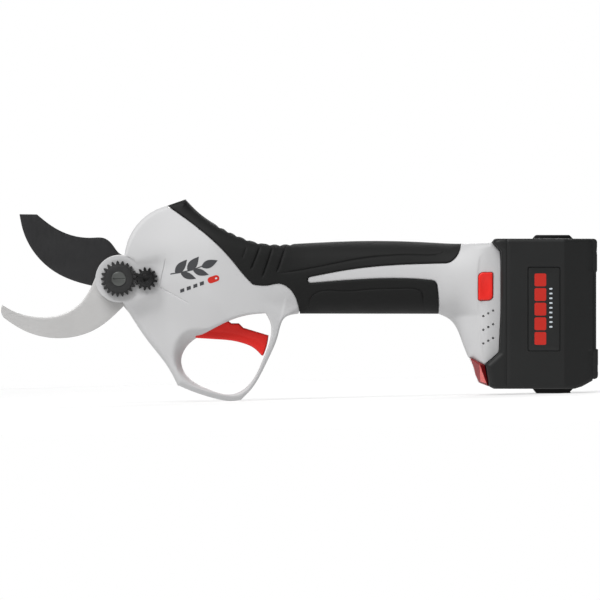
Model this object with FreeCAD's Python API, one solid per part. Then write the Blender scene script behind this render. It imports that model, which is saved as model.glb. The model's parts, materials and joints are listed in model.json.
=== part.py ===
import FreeCAD
import Part

import math
import os

# Battery electric pruner: hook blade and moving blade on a pivot bolt, a motor, a two-stage planetary
# gearbox and a bevel sector in a two-part moulded housing, and a slide-off battery pack. Millimetres.
# +X runs from the blades to the battery, +Z is up, and -Y is the side with the blade adjuster and the
# power button. Z = 0 is the underside of the finger guard, and X = 0 is the middle of the overall length.

V = FreeCAD.Vector

# --- driving dimensions ---------------------------------------------------------------------------
PIVOT_X = -99.4
AXIS_Z = 67.1                # height of the pivot, and of the motor and gearbox axis
FIT = 0.05                   # radial clearance of a running fit
SEAT = 0.03                  # clearance round a part that sits still
WALL = 2.4                   # housing wall
GRIP_PROUD = 0.8             # how far a grip stands out of the housing
GRIP_DEPTH = 1.2             # how deep it is let into the housing
SKIN = 2.0                   # grip thickness at the top edge
UNDER_SKIN = 1.98            # and at the bottom edge

BOLT_R = 4.0
BUSH_R = 6.0                 # of the bush that the moving blade turns on
LAND_Y = -11.0               # flat under the adjuster gears
LAND_HALF = 8.5
BOSS_R = 12.9
LEFT_WALL_Y = -4.0
HOOK_Y = (-3.9, -0.1)        # fixed hook blade
BLADE_Y = (0.1, 3.5)         # moving blade
SECTOR_BACK_Y = 8.9
WASHER_Y = (9.0, 9.6)
RIGHT_WALL_Y = 9.7
NUT_Y = (12.6, 17.4)
HUB_R = 12.3

ADJUST_MODULE = 0.875
ADJUST_TEETH = (21, 13)
ADJUST_Y = (-15.0, -11.1)
PRESSURE = math.radians(25)
BACKLASH = 0.10
ADDENDUM = 0.9
DEDENDUM = 1.2

PINION_CENTRE_X = PIVOT_X + ADJUST_MODULE * sum(ADJUST_TEETH) / 2 + 0.02

BEVEL_TEETH = (42, 12)       # a full ring of the sector's teeth, and the pinion
BEVEL_FACE = 6.0
BEVEL_BACKLASH = 0.16
SECTOR_TEETH_BELOW = 7       # teeth below and above the mesh point with the blade open
SECTOR_TEETH_ABOVE = 2

PLANET_MODULE = 0.4
SUN_TEETH = 12
PLANET_TEETH = 24
RING_TEETH = SUN_TEETH + 2 * PLANET_TEETH
PLANET_CENTRE = PLANET_MODULE * (SUN_TEETH + PLANET_TEETH) / 2
PLANET_PIN_R = 1.5
GEARBOX_R = 13.5
GEARBOX_X = (-32.0, -12.0)
STAGE_X = ((-19.1, -14.1), (-27.9, -22.9))   # planets of each stage, motor side first
CARRIER_R = 10.6
SHAFT_R = 3.0
BEARING_R = 8.0
BEARINGS_X = ((-72.5, -67.5), (-38.5, -33.5))
PINION_X = (-84.8, -77.8)

MOTOR_R = 14.0
MOTOR_X = (-11.8, 35.0)
BELL_X = (35.0, 39.0)

TRIGGER_PIVOT = (-55.6, 43.5)
TRIGGER_HALF = 6.0
SLOT_HALF = 6.4
MAGNET_X = (-50.5, -47.5)
MAGNET_Z = (43.2, 46.2)
BOARD_X = (48.0, 96.0)
BOARD_Z = (58.9, 60.5)
BUTTON_X = (97.6, 105.6)
BUTTON_Z = (55.3, 70.6)
BUTTON_PROUD = 0.7
SOUNDER = (101.8, 40.0)

DOCK_X = 109.8               # end of the housing, where the battery starts
DOCK_RIM_X = 114.2
RIM_Y = 16.0
RIM_Z = (36.0, 80.0)
BATTERY_HALF = 30.5
BATTERY_REAR_HALF = 24.0
PACK_EDGE = 2.0
CHAMFER_X = 144.5
BATTERY_TOP = 89.1
BATTERY_BOTTOM = 6.9
COVER_X = (160.2, 163.2)
COVER_STEPS_Z = (28.6, 71.3)
POST_X = 154.3
CELL_R = 9.1
CELL_Z = (15.5, 80.5)
CELL_X = (126.0, 144.7)
CELL_Y = (-18.4, 0.0, 18.4)
LABEL_X = (124.6, 142.2)
LABEL_Z = (27.6, 73.5)
RELEASE_X = (127.9, 149.9)
RELEASE_HALF = 12.0

HOUSING_SCREWS = ((-84.0, 90.0), (-70.0, 97.0), (-76.0, 38.5), (-52.0, 83.0), (43.5, 69.9), (101.0, 78.5),
                  (97.0, 31.0))
SCREW_R = 1.5
SCREW_HEAD_R = 2.7
SECTOR_SCREW_R = 1.25
LOCATING_PINS = ((-86.4, 46.2), (-81.5, 42.5))   # they hold the hook blade's root
PIN_END_Y = -5.6
PIN_R = 1.5                  # of the locating pins and the trigger's pin

# Half width of the housing along its length, and how much it narrows towards its top and bottom edges.
WIDTHS = ((-140, 11), (-115, 11.2), (-100, 11.3), (-88, 11.9), (-76, 13.4), (-62, 16.6), (-48, 19),
          (-30, 19.2), (-10, 18), (20, 17), (55, 17), (75, 18), (86, 20.6), (97, 24.2), (104, 24.4),
          (112, 24.2), (125, 24))
HANDLE_FROM = (-25.0, 5.0)
LEAST_HALF = 6.4             # thinnest place of the left half, over the hook blade's root

# The left half falls away from its crown: to the front and below with one slope, and upwards with the other.
CROWN = (-56.0, 60.5)
CROWN_FALL = (-0.57, -0.82)  # direction of the fall, in X and Z
FALL_SLOPE = 0.28
RISE_Z = 76.0
RISE_SLOPE = 0.2


# --- shape helpers --------------------------------------------------------------------------------
def save(name, shape):
    """Writes one sub-part, cleaned of seams between faces of one surface."""
    clean = shape.removeSplitter()
    solids = clean.Solids if clean.isValid() else shape.Solids
    result = solids[0] if len(solids) == 1 else Part.makeCompound(solids)
    if not result.isValid():
        print("not valid:", name)
    result.exportStep("parts/" + name + ".step")
    print(f"{name:24s} solids {len(solids):2d}  volume {result.Volume:10.1f}")


def flat(x, z, y=0.0):
    return V(x, y, z)


def line(*points):
    return [Part.LineSegment(flat(*a), flat(*b)).toShape() for a, b in zip(points, points[1:])]


def smooth(*points):
    curve = Part.BSplineCurve()
    curve.interpolate([flat(*p) for p in points])
    return [curve.toShape()]


def bow(a, b, c):
    """An arc from a through b to c."""
    return [Part.Arc(flat(*a), flat(*b), flat(*c)).toShape()]


def prism(edges, y0, y1):
    """A closed outline in the XZ plane, pulled along Y from y0 to y1."""
    face = Part.Face(Part.Wire(edges))
    solid = face.extrude(V(0, y1 - y0, 0))
    solid.translate(V(0, y0, 0))
    return solid


def block(x, y, z):
    return Part.makeBox(x[1] - x[0], y[1] - y[0], z[1] - z[0], V(x[0], y[0], z[0]))


def rod_y(x, z, r, y0, y1):
    return Part.makeCylinder(r, y1 - y0, V(x, y0, z), V(0, 1, 0))


def rod_x(r, x0, x1, y=0.0, z=AXIS_Z):
    return Part.makeCylinder(r, x1 - x0, V(x0, y, z), V(1, 0, 0))


def rod_z(x, y, r, z0, z1):
    return Part.makeCylinder(r, z1 - z0, V(x, y, z0), V(0, 0, 1))


def joined(shapes):
    shapes = list(shapes)
    return shapes[0].fuse(shapes[1:]) if len(shapes) > 1 else shapes[0]


def mirrored(shape):
    return shape.mirror(V(0, 0, 0), V(0, 1, 0))


def plate(x, z, y0, y1, corner):
    """A block with rounded corners in the XZ plane."""
    solid = block(x, (y0, y1), z)
    upright = [e for e in solid.Edges if abs(e.tangentAt(e.FirstParameter).y) > 0.9]
    return solid.makeFillet(corner, upright)


def ease(t):
    t = min(1.0, max(0.0, t))
    return t * t * (3 - 2 * t)


def width_at(x):
    """The half width at x: a smooth curve through WIDTHS."""
    for (x0, w0), (x1, w1) in zip(WIDTHS, WIDTHS[1:]):
        if x <= x1:
            break
    i = WIDTHS.index((x0, w0))
    before = WIDTHS[max(i - 1, 0)]
    after = WIDTHS[min(i + 2, len(WIDTHS) - 1)]
    span = x1 - x0
    m0 = (w1 - before[1]) / (x1 - before[0]) * span
    m1 = (after[1] - w0) / (after[0] - x0) * span
    t = (x - x0) / span
    return ((2 * t**3 - 3 * t**2 + 1) * w0 + (t**3 - 2 * t**2 + t) * m0
            + (3 * t**2 - 2 * t**3) * w1 + (t**3 - t**2) * m1)


def slope_sum(t):
    """The integral of a soft step from 0 to 1."""
    if t < 1:
        return max(t, 0.0)**3 - max(t, 0.0)**4 / 2
    return t - 0.5


def crown(x, z):
    """How far the left half has fallen away from its crown. It keeps its full width round the pivot."""
    along = CROWN_FALL[0] * (x - CROWN[0]) + CROWN_FALL[1] * (z - CROWN[1])
    below = 10 * slope_sum((along + 5) / 10) - 18 * slope_sum((along - 14) / 18)
    clear = ease((math.hypot(x - PIVOT_X, z - AXIS_Z) - 13) / 16)
    above = 16 * slope_sum((z - RISE_Z) / 16)
    return FALL_SLOPE * below * clear + RISE_SLOPE * above


def side_at(x, z, left=False):
    """How far the housing's surface stands from the middle plane, on the left or the right side."""
    handle = ease((x - HANDLE_FROM[0]) / (HANDLE_FROM[1] - HANDLE_FROM[0]))
    rear = ease((x - 84.0) / 20.0)
    tube = 0.75 * min(1.0, ((z - 67.0) / 20.0) ** 2)
    head = 0.7 * ((z - 72.0) / 75.0) ** 2
    drop = head + handle * (tube * (1 - rear) + 0.25 * ((z - 52.0) / 38.0) ** 2 * rear - head)
    half = width_at(x) * math.sqrt(1 - min(drop, 0.86))
    if not left:
        return half
    spare = half - crown(x, z) * (1 - handle) - LEAST_HALF
    return LEAST_HALF + (spare + math.sqrt(spare**2 + 1)) / 2


def under_surface(proud, left):
    """The space between the middle plane and one side's surface, moved out by proud. Both are built at -Y."""
    rows = []
    for i in range(53):
        x = -138 + 5 * i
        rows.append([V(x, -side_at(x, -4 + 5 * j, left) - proud, -4 + 5 * j) for j in range(25)])
    surface = Part.BSplineSurface()
    surface.interpolate(rows)
    return surface.toShape().extrude(V(0, 60, 0))


def half_of(edges, proud, left):
    """One half of a body with this outline, at -Y."""
    return prism(edges, -40, 0).common(under_surface(proud, left))


# --- gears ----------------------------------------------------------------------------------------
def involute(angle):
    return math.tan(angle) - angle


def tooth_points(teeth, module, backlash, addendum, dedendum, centre, pressure=PRESSURE):
    """One tooth as (radius, angle) pairs, root to root, with its middle at the angle centre."""
    pitch_r = teeth * module / 2
    base_r = pitch_r * math.cos(pressure)
    root_r = pitch_r - dedendum * module
    tip_r = pitch_r + addendum * module
    start_r = max(base_r, root_r)
    at_pitch = math.pi / (2 * teeth) - backlash / (4 * pitch_r)
    flank = [(root_r, None)] if root_r < base_r else []
    flank += [(start_r + (tip_r - start_r) * s, None) for s in (0, 0.3, 0.65, 1)]
    half = []
    for r, _ in flank:
        cosine = min(1.0, base_r / r)
        half.append((r, at_pitch + involute(pressure) - involute(math.acos(cosine))))
    return [(r, centre - a) for r, a in half] + [(r, centre + a) for r, a in reversed(half)]


def gear_points(teeth, module, backlash, first=0.0, addendum=ADDENDUM, dedendum=DEDENDUM):
    """The outline of a whole gear as (radius, angle) pairs, with a tooth at the angle first."""
    points = []
    for i in range(teeth):
        centre = first + 2 * math.pi * i / teeth
        points += tooth_points(teeth, module, backlash, addendum, dedendum, centre)
    return points


def gear_y(points, x, z, y0, y1):
    """A gear on an axis along Y. Angles turn from +X to +Z."""
    corners = [V(x + r * math.cos(a), y0, z + r * math.sin(a)) for r, a in points]
    face = Part.Face(Part.makePolygon(corners + corners[:1]))
    return face.extrude(V(0, y1 - y0, 0))


def gear_x(points, x0, x1, y=0.0, z=AXIS_Z):
    """A gear on an axis along X. Angles turn from +Y to +Z."""
    corners = [V(x0, y + r * math.cos(a), z + r * math.sin(a)) for r, a in points]
    face = Part.Face(Part.makePolygon(corners + corners[:1]))
    return face.extrude(V(x1 - x0, 0, 0))


def cone_gear(profile, face_ratio, hub, closed):
    """A solid between a tooth outline on the back cone and its copy nearer the apex, which is the origin."""
    outer = profile + profile[:1] if closed else [hub] + profile + [hub]
    inner = [p * face_ratio for p in outer]
    faces = []
    for a, b, c, d in zip(outer, outer[1:], inner, inner[1:]):
        faces.append(Part.Face(Part.makePolygon([a, b, d, c, a])))
        if closed or (a != hub and b != hub):
            faces.append(Part.Face(Part.makePolygon([hub, a, b, hub])))
            faces.append(Part.Face(Part.makePolygon([hub * face_ratio, c, d, hub * face_ratio])))
    solid = Part.makeSolid(Part.makeShell(faces))
    return solid if solid.Volume > 0 else solid.reversed()


BEVEL_RADII = (BEVEL_TEETH[0] / 2, BEVEL_TEETH[1] / 2)
BEVEL_LENGTH = math.hypot(*BEVEL_RADII)
BEVEL_RATIO = (BEVEL_LENGTH - BEVEL_FACE) / BEVEL_LENGTH


def bevel_profile(pitch_r, other_r, teeth, centres, place):
    """Teeth of a bevel gear of module 1 on its back cone. place(radius, axial, angle) gives a point."""
    cosine = other_r / BEVEL_LENGTH
    sine = pitch_r / BEVEL_LENGTH
    back_r = pitch_r / cosine
    points = []
    for centre in centres:
        for r, a in tooth_points(2 * back_r, 1.0, BEVEL_BACKLASH, ADDENDUM, DEDENDUM, 0.0):
            beyond = r - back_r
            points.append(place(pitch_r + beyond * cosine, other_r - beyond * sine, centre + a / cosine))
    return points


# --- outlines shared by several parts -------------------------------------------------------------
HEAD_CORNER = (-62.9, 110.8)
SPINE = (HEAD_CORNER, (-55.5, 103.4), (-47.0, 97.4), (-34.7, 91.0), (-23.0, 87.0), (-11.0, 85.9))
HANDLE_TOP = ((-11.0, 85.9), (10.2, 87.1), (40.2, 88.0), (70.1, 87.2), (88.6, 86.4), (105.1, 86.9))
REAR_UNDER = ((92.6, 24.2), (89.5, 31.8), (86.5, 39.5), (82.4, 44.8), (76.1, 47.9))
HANDLE_FRONT = (0.0, 48.0)
GUARD_OUTER = (HANDLE_FRONT, (-8.3, 45.8), (-12.0, 36.6), (-18.3, 21.3), (-26.7, 6.6), (-32.5, 0.6))
GUARD_FLOOR = ((-32.5, 0.6), (-37.8, 0.0), (-45.7, 1.1), (-62.5, 6.6), (-67.3, 8.7))
GUARD_FRONT = ((-67.3, 8.7), (-72.0, 17.7), (-82.5, 31.6), (-92.7, 46.5), (-96.5, 52.8))
GUARD_HOLE = ((-18.8, 48.2), (-16.0, 42.0), (-15.8, 38.2), (-20.4, 22.9), (-28.8, 8.2), (-36.7, 3.7),
              (-50.9, 6.6), (-62.5, 14.0), (-65.4, 21.9), (-62.0, 30.3), (-50.9, 38.0), (-37.8, 44.5),
              (-24.6, 47.8), (-18.8, 48.2))


def body_outline():
    """The outer edge of the housing without the finger opening."""
    disc_top = (-96.6, 79.7)
    disc_left = (PIVOT_X - BOSS_R, AXIS_Z)
    disc_foot = (-97.4, 54.36)
    return (bow(disc_foot, disc_left, disc_top) + line(disc_top, (-96.1, 81.4))
            + bow((-96.1, 81.4), (-88.8, 97.7), (-73.1, 107.2)) + line((-73.1, 107.2), HEAD_CORNER)
            + smooth(*SPINE) + smooth(*HANDLE_TOP)
            + line((105.1, 86.9), (DOCK_X, 82.0), (DOCK_X, 49.0), (108.8, 27.0), (101.2, 20.1), (92.6, 24.2))
            + smooth(*REAR_UNDER) + line((76.1, 47.9), HANDLE_FRONT) + smooth(*GUARD_OUTER)
            + smooth(*GUARD_FLOOR) + smooth(*GUARD_FRONT) + line((-96.5, 52.8), disc_foot))


def cavity_outline():
    """The inner edge of the hollow that holds the drive and the electronics."""
    return (line((-94.1, 83.1), (-94.1, 53.9))
            + smooth((-94.1, 53.9), (-91.3, 50.6), (-82.5, 37.4), (-77.0, 31.9))
            + bow((-77.0, 31.9), (-70.4, 28.3), (-64.9, 30.8))
            + smooth((-64.9, 30.8), (-51.2, 40.7), (-30.3, 49.6), (-5.5, 52.4))
            + line((-5.5, 52.4), (77.0, 52.5))
            + smooth((77.0, 52.5), (83.6, 48.0), (91.3, 30.5), (94.6, 26.0))
            + line((94.6, 26.0), (101.2, 23.2), (107.4, 28.8), (107.4, 79.0), (104.0, 83.0))
            + smooth((104.0, 83.0), (79.2, 83.0), (40.2, 84.0), (-5.5, 82.4))
            + smooth((-5.5, 82.4), (-27.5, 83.8), (-52.3, 96.0), (-63.0, 104.8))
            + line((-63.0, 104.8), (-72.6, 103.8)) + bow((-72.6, 103.8), (-86.0, 95.2), (-94.1, 83.1)))


def upper_grip_outline():
    """The upper grip: over the back of the handle and up the spine of the head."""
    return (smooth((-72.9, 107.3), (-59.4, 97.6), (-44.0, 84.5), (-36.3, 76.0), (-25.9, 64.1))
            + smooth((-25.9, 64.1), (-16.0, 64.5), (-6.6, 62.5), (-1.8, 54.0), (0.0, 47.0))
            + line((0.0, 47.0), (4.6, 47.0), (4.8, 68.0))
            + smooth((4.8, 68.0), (26.0, 72.1), (54.4, 74.9), (78.1, 75.7))
            + smooth((78.1, 75.7), (82.8, 77.3), (87.1, 81.6), (88.3, 88.4))
            + line((88.3, 88.4), (88.3, 114.0), (-72.9, 114.0), (-72.9, 107.3)))


def lower_grip_outline():
    """The lower grip, under the white stripe of the handle."""
    return (line((4.6, 47.0), (4.6, 64.7)) + smooth((4.6, 64.7), (30.1, 66.6), (53.4, 67.4), (70.0, 66.6))
            + bow((70.0, 66.6), (74.4, 64.6), (75.9, 60.0)) + line((75.9, 60.0), (76.1, 47.0), (4.6, 47.0)))


# --- housing and grips ----------------------------------------------------------------------------
def grip_core(left):
    """What is left of a half under a grip."""
    lowered = half_of(body_outline(), -GRIP_DEPTH, left)
    raised = lowered.copy()
    lowered.translate(V(0, 0, -SKIN))
    raised.translate(V(0, 0, UNDER_SKIN))
    return lowered.common(raised)


def grip_region():
    return prism(upper_grip_outline(), -40, 0).fuse(prism(lower_grip_outline(), -40, 0))


def grip(core, left):
    skin = half_of(body_outline(), GRIP_PROUD, left).common(grip_region())
    return skin.cut(core)


def saddle_slabs():
    """Cross ribs and bosses that stay in the hollow, left and right alike."""
    slabs = [block((a, b), (-40, 0), (0, 120)) for a, b in
             (BEARINGS_X[0], BEARINGS_X[1], (-30, -27), (-17, -14), (-8, -5), (27, 30))]
    slabs.append(block((-51.0, -38.0), (-40, 0), (53.6, 55.2)))
    slabs.append(rod_y(PIVOT_X, AXIS_Z, BOSS_R, -40, 0))
    slabs.append(rod_y(*TRIGGER_PIVOT, 4.2, -40, 0))
    slabs += [rod_y(x, z, 3.6, -40, 0) for x, z in HOUSING_SCREWS]
    return slabs


def drive_room():
    """The round seats of the drive, cut through the cross ribs."""
    return joined([rod_x(BEARING_R + SEAT, *BEARINGS_X[0]), rod_x(BEARING_R + SEAT, *BEARINGS_X[1]),
                   rod_x(GEARBOX_R + SEAT, GEARBOX_X[0] - 0.3, GEARBOX_X[1]),
                   rod_x(MOTOR_R + SEAT, GEARBOX_X[1], BELL_X[1] + 1.0),
                   rod_x(SHAFT_R + 1.2, -86, -30), rod_x(7.6, -87, -76.5)])


def plain_half(core, left):
    """A half before the openings that only one side has, at -Y."""
    outer = half_of(body_outline(), 0.0, left)
    outer = outer.cut(prism(smooth(*GUARD_HOLE), -40, 1))
    outer = outer.cut(grip_region().cut(core))
    hollow = half_of(cavity_outline(), -WALL, left).cut(Part.makeCompound(saddle_slabs()))
    hollow = hollow.common(block((-94.1, 120), (-40, 1), (0, 120)))
    shell = outer.cut(hollow).cut(drive_room())
    slot = prism(line((-61.4, 30), (-30.0, 38), (-28.0, 56), (-61.4, 50), (-61.4, 30)), -SLOT_HALF, 1)
    spring_shelf = block((-51.0, -38.0), (-SLOT_HALF, 1), (53.6, 55.2))
    shell = shell.cut(slot.cut(spring_shelf))
    return shell.fuse(dock_rim())


def dock_rim():
    """The left half of the rim that stands into the battery, with its catch openings."""
    outer = block((DOCK_X - 3.0, DOCK_RIM_X), (-RIM_Y, 0), RIM_Z)
    inner = block((DOCK_X - 4.0, DOCK_RIM_X + 1), (-RIM_Y + 2, 1), (RIM_Z[0] + 2, RIM_Z[1] - 2))
    catch = block((111.6, DOCK_RIM_X + 1), (-5.3, 1), (0, 120))
    return outer.cut(inner).cut(catch)


def rear_openings():
    """Openings in the rear wall for the terminal block."""
    return block((106.0, DOCK_X + 1), (-RIM_Y + 2, RIM_Y - 2), (RIM_Z[0] + 2, RIM_Z[1] - 2))


def sounder_holes():
    holes = []
    for column, x in enumerate((100.4, 103.05, 105.7)):
        holes += [rod_y(x, 46.7 - 7.5 * row + 1.5 * column, 0.55, -32, -18) for row in range(3)]
    return holes


def left_half(plain):
    """The half with the adjuster flat, the hook blade's seat, the power button and the sounder holes."""
    land = rod_y(PIVOT_X, AXIS_Z, BOSS_R + 0.2, -30, LAND_Y)
    strip = plate((PIVOT_X, -77.0), (AXIS_Z - LAND_HALF, AXIS_Z + LAND_HALF), -30, LAND_Y, 2.5)
    under_strip = block((PIVOT_X, -75.0), (LAND_Y, LAND_Y + 2.2), (AXIS_Z - 10.5, AXIS_Z + 10.5))
    body = plain.fuse(under_strip.common(under_surface(0.0, True))).cut(land.fuse(strip))
    body = body.cut(rod_x(7.6, -87, -76.5))
    body = body.cut(prism(hook_root(0.15), LEFT_WALL_Y + SEAT, 1))
    body = body.cut(rod_y(PIVOT_X, AXIS_Z, BOLT_R, -20, 1))
    body = body.cut(rod_y(PINION_CENTRE_X, AXIS_Z, 2.0, -20, -8.0))
    body = body.cut(Part.makeCompound([rod_y(x, z, PIN_R + SEAT, PIN_END_Y, 0) for x, z in LOCATING_PINS]))
    button = plate((BUTTON_X[0] - 0.15, BUTTON_X[1] + 0.15), (BUTTON_Z[0] - 0.15, BUTTON_Z[1] + 0.15),
                   -34, -18, 2.0)
    body = body.cut(button).cut(rear_openings())
    body = body.cut(Part.makeCompound(sounder_holes()))
    threads = [rod_y(x, z, SCREW_R + SEAT, -thread_depth(x, z), 1) for x, z in HOUSING_SCREWS]
    body = body.cut(Part.makeCompound(threads))
    return body.cut(rod_y(*TRIGGER_PIVOT, PIN_R + SEAT, -11.0, 1))


def right_half(plain):
    """The half with the nut's seat, the screw heads, and room for the moving blade and its toothed sector."""
    body = mirrored(plain)
    sweep = rod_y(PIVOT_X, AXIS_Z, 23.4, -1, RIGHT_WALL_Y)
    room = line((PIVOT_X, AXIS_Z), (PIVOT_X + 30, AXIS_Z - 54), (PIVOT_X + 60, AXIS_Z),
                (PIVOT_X + 16, AXIS_Z + 50), (PIVOT_X, AXIS_Z))
    body = body.cut(sweep.common(prism(room, -1, RIGHT_WALL_Y)))
    body = body.cut(rod_y(PIVOT_X, AXIS_Z, 15.0, -1, BLADE_Y[1] + 0.3))
    body = body.cut(rod_y(PIVOT_X, AXIS_Z, HUB_R + 0.4, -1, RIGHT_WALL_Y))
    body = body.fuse(rod_y(PIVOT_X, AXIS_Z, 11.5, RIGHT_WALL_Y, 16.0))
    body = body.cut(rod_y(PIVOT_X, AXIS_Z, BOLT_R, 0, 30))
    body = body.cut(nut_shape(7.2 + SEAT, NUT_Y[0] - SEAT, 30))
    body = body.cut(rear_openings())
    heads = []
    for x, z in HOUSING_SCREWS:
        seat = screw_depth(x) - 1.5
        heads += [rod_y(x, z, SCREW_R + SEAT, -1, seat + 1), rod_y(x, z, SCREW_HEAD_R + 0.2, seat, 40)]
    body = body.cut(Part.makeCompound(heads))
    return body.cut(rod_y(*TRIGGER_PIVOT, PIN_R + SEAT, -1, 11.0))


def screw_depth(x):
    """How far from the middle plane a housing screw's head reaches, in the right half."""
    return width_at(x) - 3.0


def thread_depth(x, z):
    """How deep the hole for a housing screw's thread is, in the left half."""
    return min(screw_depth(x), side_at(x, z, True) - 1.6)


# --- blades and their drive -----------------------------------------------------------------------
def hook_root(grow):
    """The part of the hook blade that the housing holds."""
    front = (PIVOT_X - 11.0, AXIS_Z - 7.3)
    rear = (PIVOT_X + 11.0, AXIS_Z - 7.3 - grow)
    return (bow(rear, (PIVOT_X, AXIS_Z + 13.2 + grow), front)
            + line(front, (-108.0, 44.0 - grow), (-97.0, 51.6 - grow), (-92.0, 46.2 - grow),
                   (-82.0, 37.5 - grow), (-77.4 + grow, 43.2), rear))


def fixed_blade():
    """The hook: a crescent with a thinner cutting lip, and a root with two locating holes."""
    crescent = (smooth((-112.4, 68.3), (-115.9, 60.5), (-121.5, 53.1), (-131.3, 47.5), (-143.9, 46.1),
                       (-156.6, 49.0), (-163.7, 52.8))
                + line((-163.7, 52.8), (-164.3, 48.6), (-162.9, 45.8))
                + smooth((-162.9, 45.8), (-153.8, 39.8), (-131.3, 34.5), (-111.7, 39.8), (-97.0, 52.1))
                + line((-97.0, 52.1), (PIVOT_X, AXIS_Z), (-112.4, 68.3)))
    root = prism(hook_root(0.0), *HOOK_Y).common(block((-112.5, -70), (-5, 1), (0, 90)))
    trim = block((-125, -97.0), (-5, 1), (0, 52.0)).cut(prism(crescent, -5, 1))
    body = prism(crescent, *HOOK_Y).fuse(root.cut(trim))
    body = body.cut(rod_y(PIVOT_X, AXIS_Z, BOLT_R, -5, 1))
    return body.cut(Part.makeCompound([rod_y(x, z, PIN_R + SEAT, -5, 1) for x, z in LOCATING_PINS]))


def moving_blade():
    """The curved blade, with a bevel behind its cutting edge."""
    edge = ((-154.3, 102.7), (-152.7, 94.9), (-146.7, 82.3), (-135.5, 71.4), (-121.5, 65.1), (-111.0, 62.6))
    outline = (smooth(*edge) + line(edge[-1], (PIVOT_X, AXIS_Z), (-99.0, 79.2))
               + smooth((-99.0, 79.2), (-102.9, 86.8), (-107.5, 89.9), (-113.8, 89.8), (-124.3, 90.8),
                        (-135.5, 95.6), (-144.7, 102.6))
               + line((-144.7, 102.6), edge[0]))
    body = prism(outline, *BLADE_Y).fuse(rod_y(PIVOT_X, AXIS_Z, HUB_R, *BLADE_Y))
    bevel = ((-156.0, 106.0), (-150.6, 95.6), (-144.6, 84.4), (-134.3, 74.0), (-122.0, 68.2), (-114.6, 66.4))
    strip = smooth(*bevel) + line(bevel[-1], (-111.0, 58.0), (-160.0, 58.0), (-160.0, 106.0), bevel[0])
    thinned = prism(strip, BLADE_Y[1] - 2.3, BLADE_Y[1] + 1).cut(rod_y(PIVOT_X, AXIS_Z, HUB_R + 0.3, -1, 9))
    body = body.cut(thinned)
    body = body.cut(rod_y(PIVOT_X, AXIS_Z, BUSH_R, -1, 9))
    holes = [rod_y(x, z, SECTOR_SCREW_R, -1, 9) for x, z in sector_screw_places()]
    return body.cut(Part.makeCompound(holes))


def sector_screw_places():
    return [(PIVOT_X + 9.0 * math.cos(math.radians(a)), AXIS_Z + 9.0 * math.sin(math.radians(a)))
            for a in (60, 180, 300)]


def drive_sector():
    """The bevel sector that turns the moving blade. Its apex is on the pivot axis in the middle plane."""
    pitch = 2 * math.pi / BEVEL_TEETH[0]
    centres = [pitch * (i + 0.5) for i in range(-SECTOR_TEETH_BELOW, SECTOR_TEETH_ABOVE)]
    profile = bevel_profile(BEVEL_RADII[0], BEVEL_RADII[1], BEVEL_TEETH[0], centres,
                            lambda r, h, a: V(r * math.cos(a), h, r * math.sin(a)))
    teeth = cone_gear(profile, BEVEL_RATIO, V(0, 6.9, 0), False)
    teeth.translate(V(PIVOT_X, 0, AXIS_Z))
    low = centres[0] - 0.045
    high = centres[-1] + 0.045
    plate_y = 7.05
    rim = [V(PIVOT_X + 20.7 * math.cos(a), plate_y, AXIS_Z + 20.7 * math.sin(a))
           for a in (low, (low + high) / 2, high)]
    centre = V(PIVOT_X, plate_y, AXIS_Z)
    edges = [Part.Arc(*rim).toShape(), Part.LineSegment(rim[2], centre).toShape(),
             Part.LineSegment(centre, rim[0]).toShape()]
    back = Part.Face(Part.Wire(edges)).extrude(V(0, SECTOR_BACK_Y - plate_y, 0))
    body = teeth.fuse([back, rod_y(PIVOT_X, AXIS_Z, HUB_R, BLADE_Y[1], SECTOR_BACK_Y)])
    body = body.cut(rod_y(PIVOT_X, AXIS_Z, BUSH_R, 0, 12))
    holes = [rod_y(x, z, SECTOR_SCREW_R, 0, 12) for x, z in sector_screw_places()]
    return body.cut(Part.makeCompound(holes))


def sector_screws():
    screws = [rod_y(x, z, SECTOR_SCREW_R, BLADE_Y[0] + 0.1, SECTOR_BACK_Y) for x, z in sector_screw_places()]
    return Part.makeCompound(screws)


def pivot_bush():
    outer = rod_y(PIVOT_X, AXIS_Z, BUSH_R, BLADE_Y[0], SECTOR_BACK_Y)
    return outer.cut(rod_y(PIVOT_X, AXIS_Z, BOLT_R + 0.02, -1, 12))


def thrust_washer():
    return rod_y(PIVOT_X, AXIS_Z, 10.0, *WASHER_Y).cut(rod_y(PIVOT_X, AXIS_Z, BOLT_R + FIT, 8, 12))


def pivot_bolt():
    """The bolt that carries the blades, slotted where it shows, with a flange under the adjuster gear."""
    body = rod_y(PIVOT_X, AXIS_Z, BOLT_R - FIT, ADJUST_Y[0] - 0.4, NUT_Y[1] + 0.8)
    slot = block((PIVOT_X - 3.2, PIVOT_X + 3.2), (ADJUST_Y[0] - 1, ADJUST_Y[0] + 0.3),
                 (AXIS_Z - 0.35, AXIS_Z + 0.35))
    return body.cut(slot)


def nut_shape(across_corner, y0, y1):
    corners = [V(PIVOT_X + across_corner * math.cos(a), y0, AXIS_Z + across_corner * math.sin(a))
               for a in (math.pi * i / 3 for i in range(6))]
    return Part.Face(Part.makePolygon(corners + corners[:1])).extrude(V(0, y1 - y0, 0))


def pivot_nut():
    return nut_shape(7.2, *NUT_Y).cut(rod_y(PIVOT_X, AXIS_Z, BOLT_R, 10, 20))


def adjuster_gear():
    """The toothed wheel keyed to the bolt, with a raised hub."""
    points = gear_points(ADJUST_TEETH[0], ADJUST_MODULE, BACKLASH, math.pi)
    body = gear_y(points, PIVOT_X, AXIS_Z, ADJUST_Y[0] + 0.9, ADJUST_Y[1])
    body = body.fuse(rod_y(PIVOT_X, AXIS_Z, 7.5, ADJUST_Y[0], ADJUST_Y[1]))
    return body.cut(rod_y(PIVOT_X, AXIS_Z, BOLT_R - FIT, -20, 0))


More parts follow.
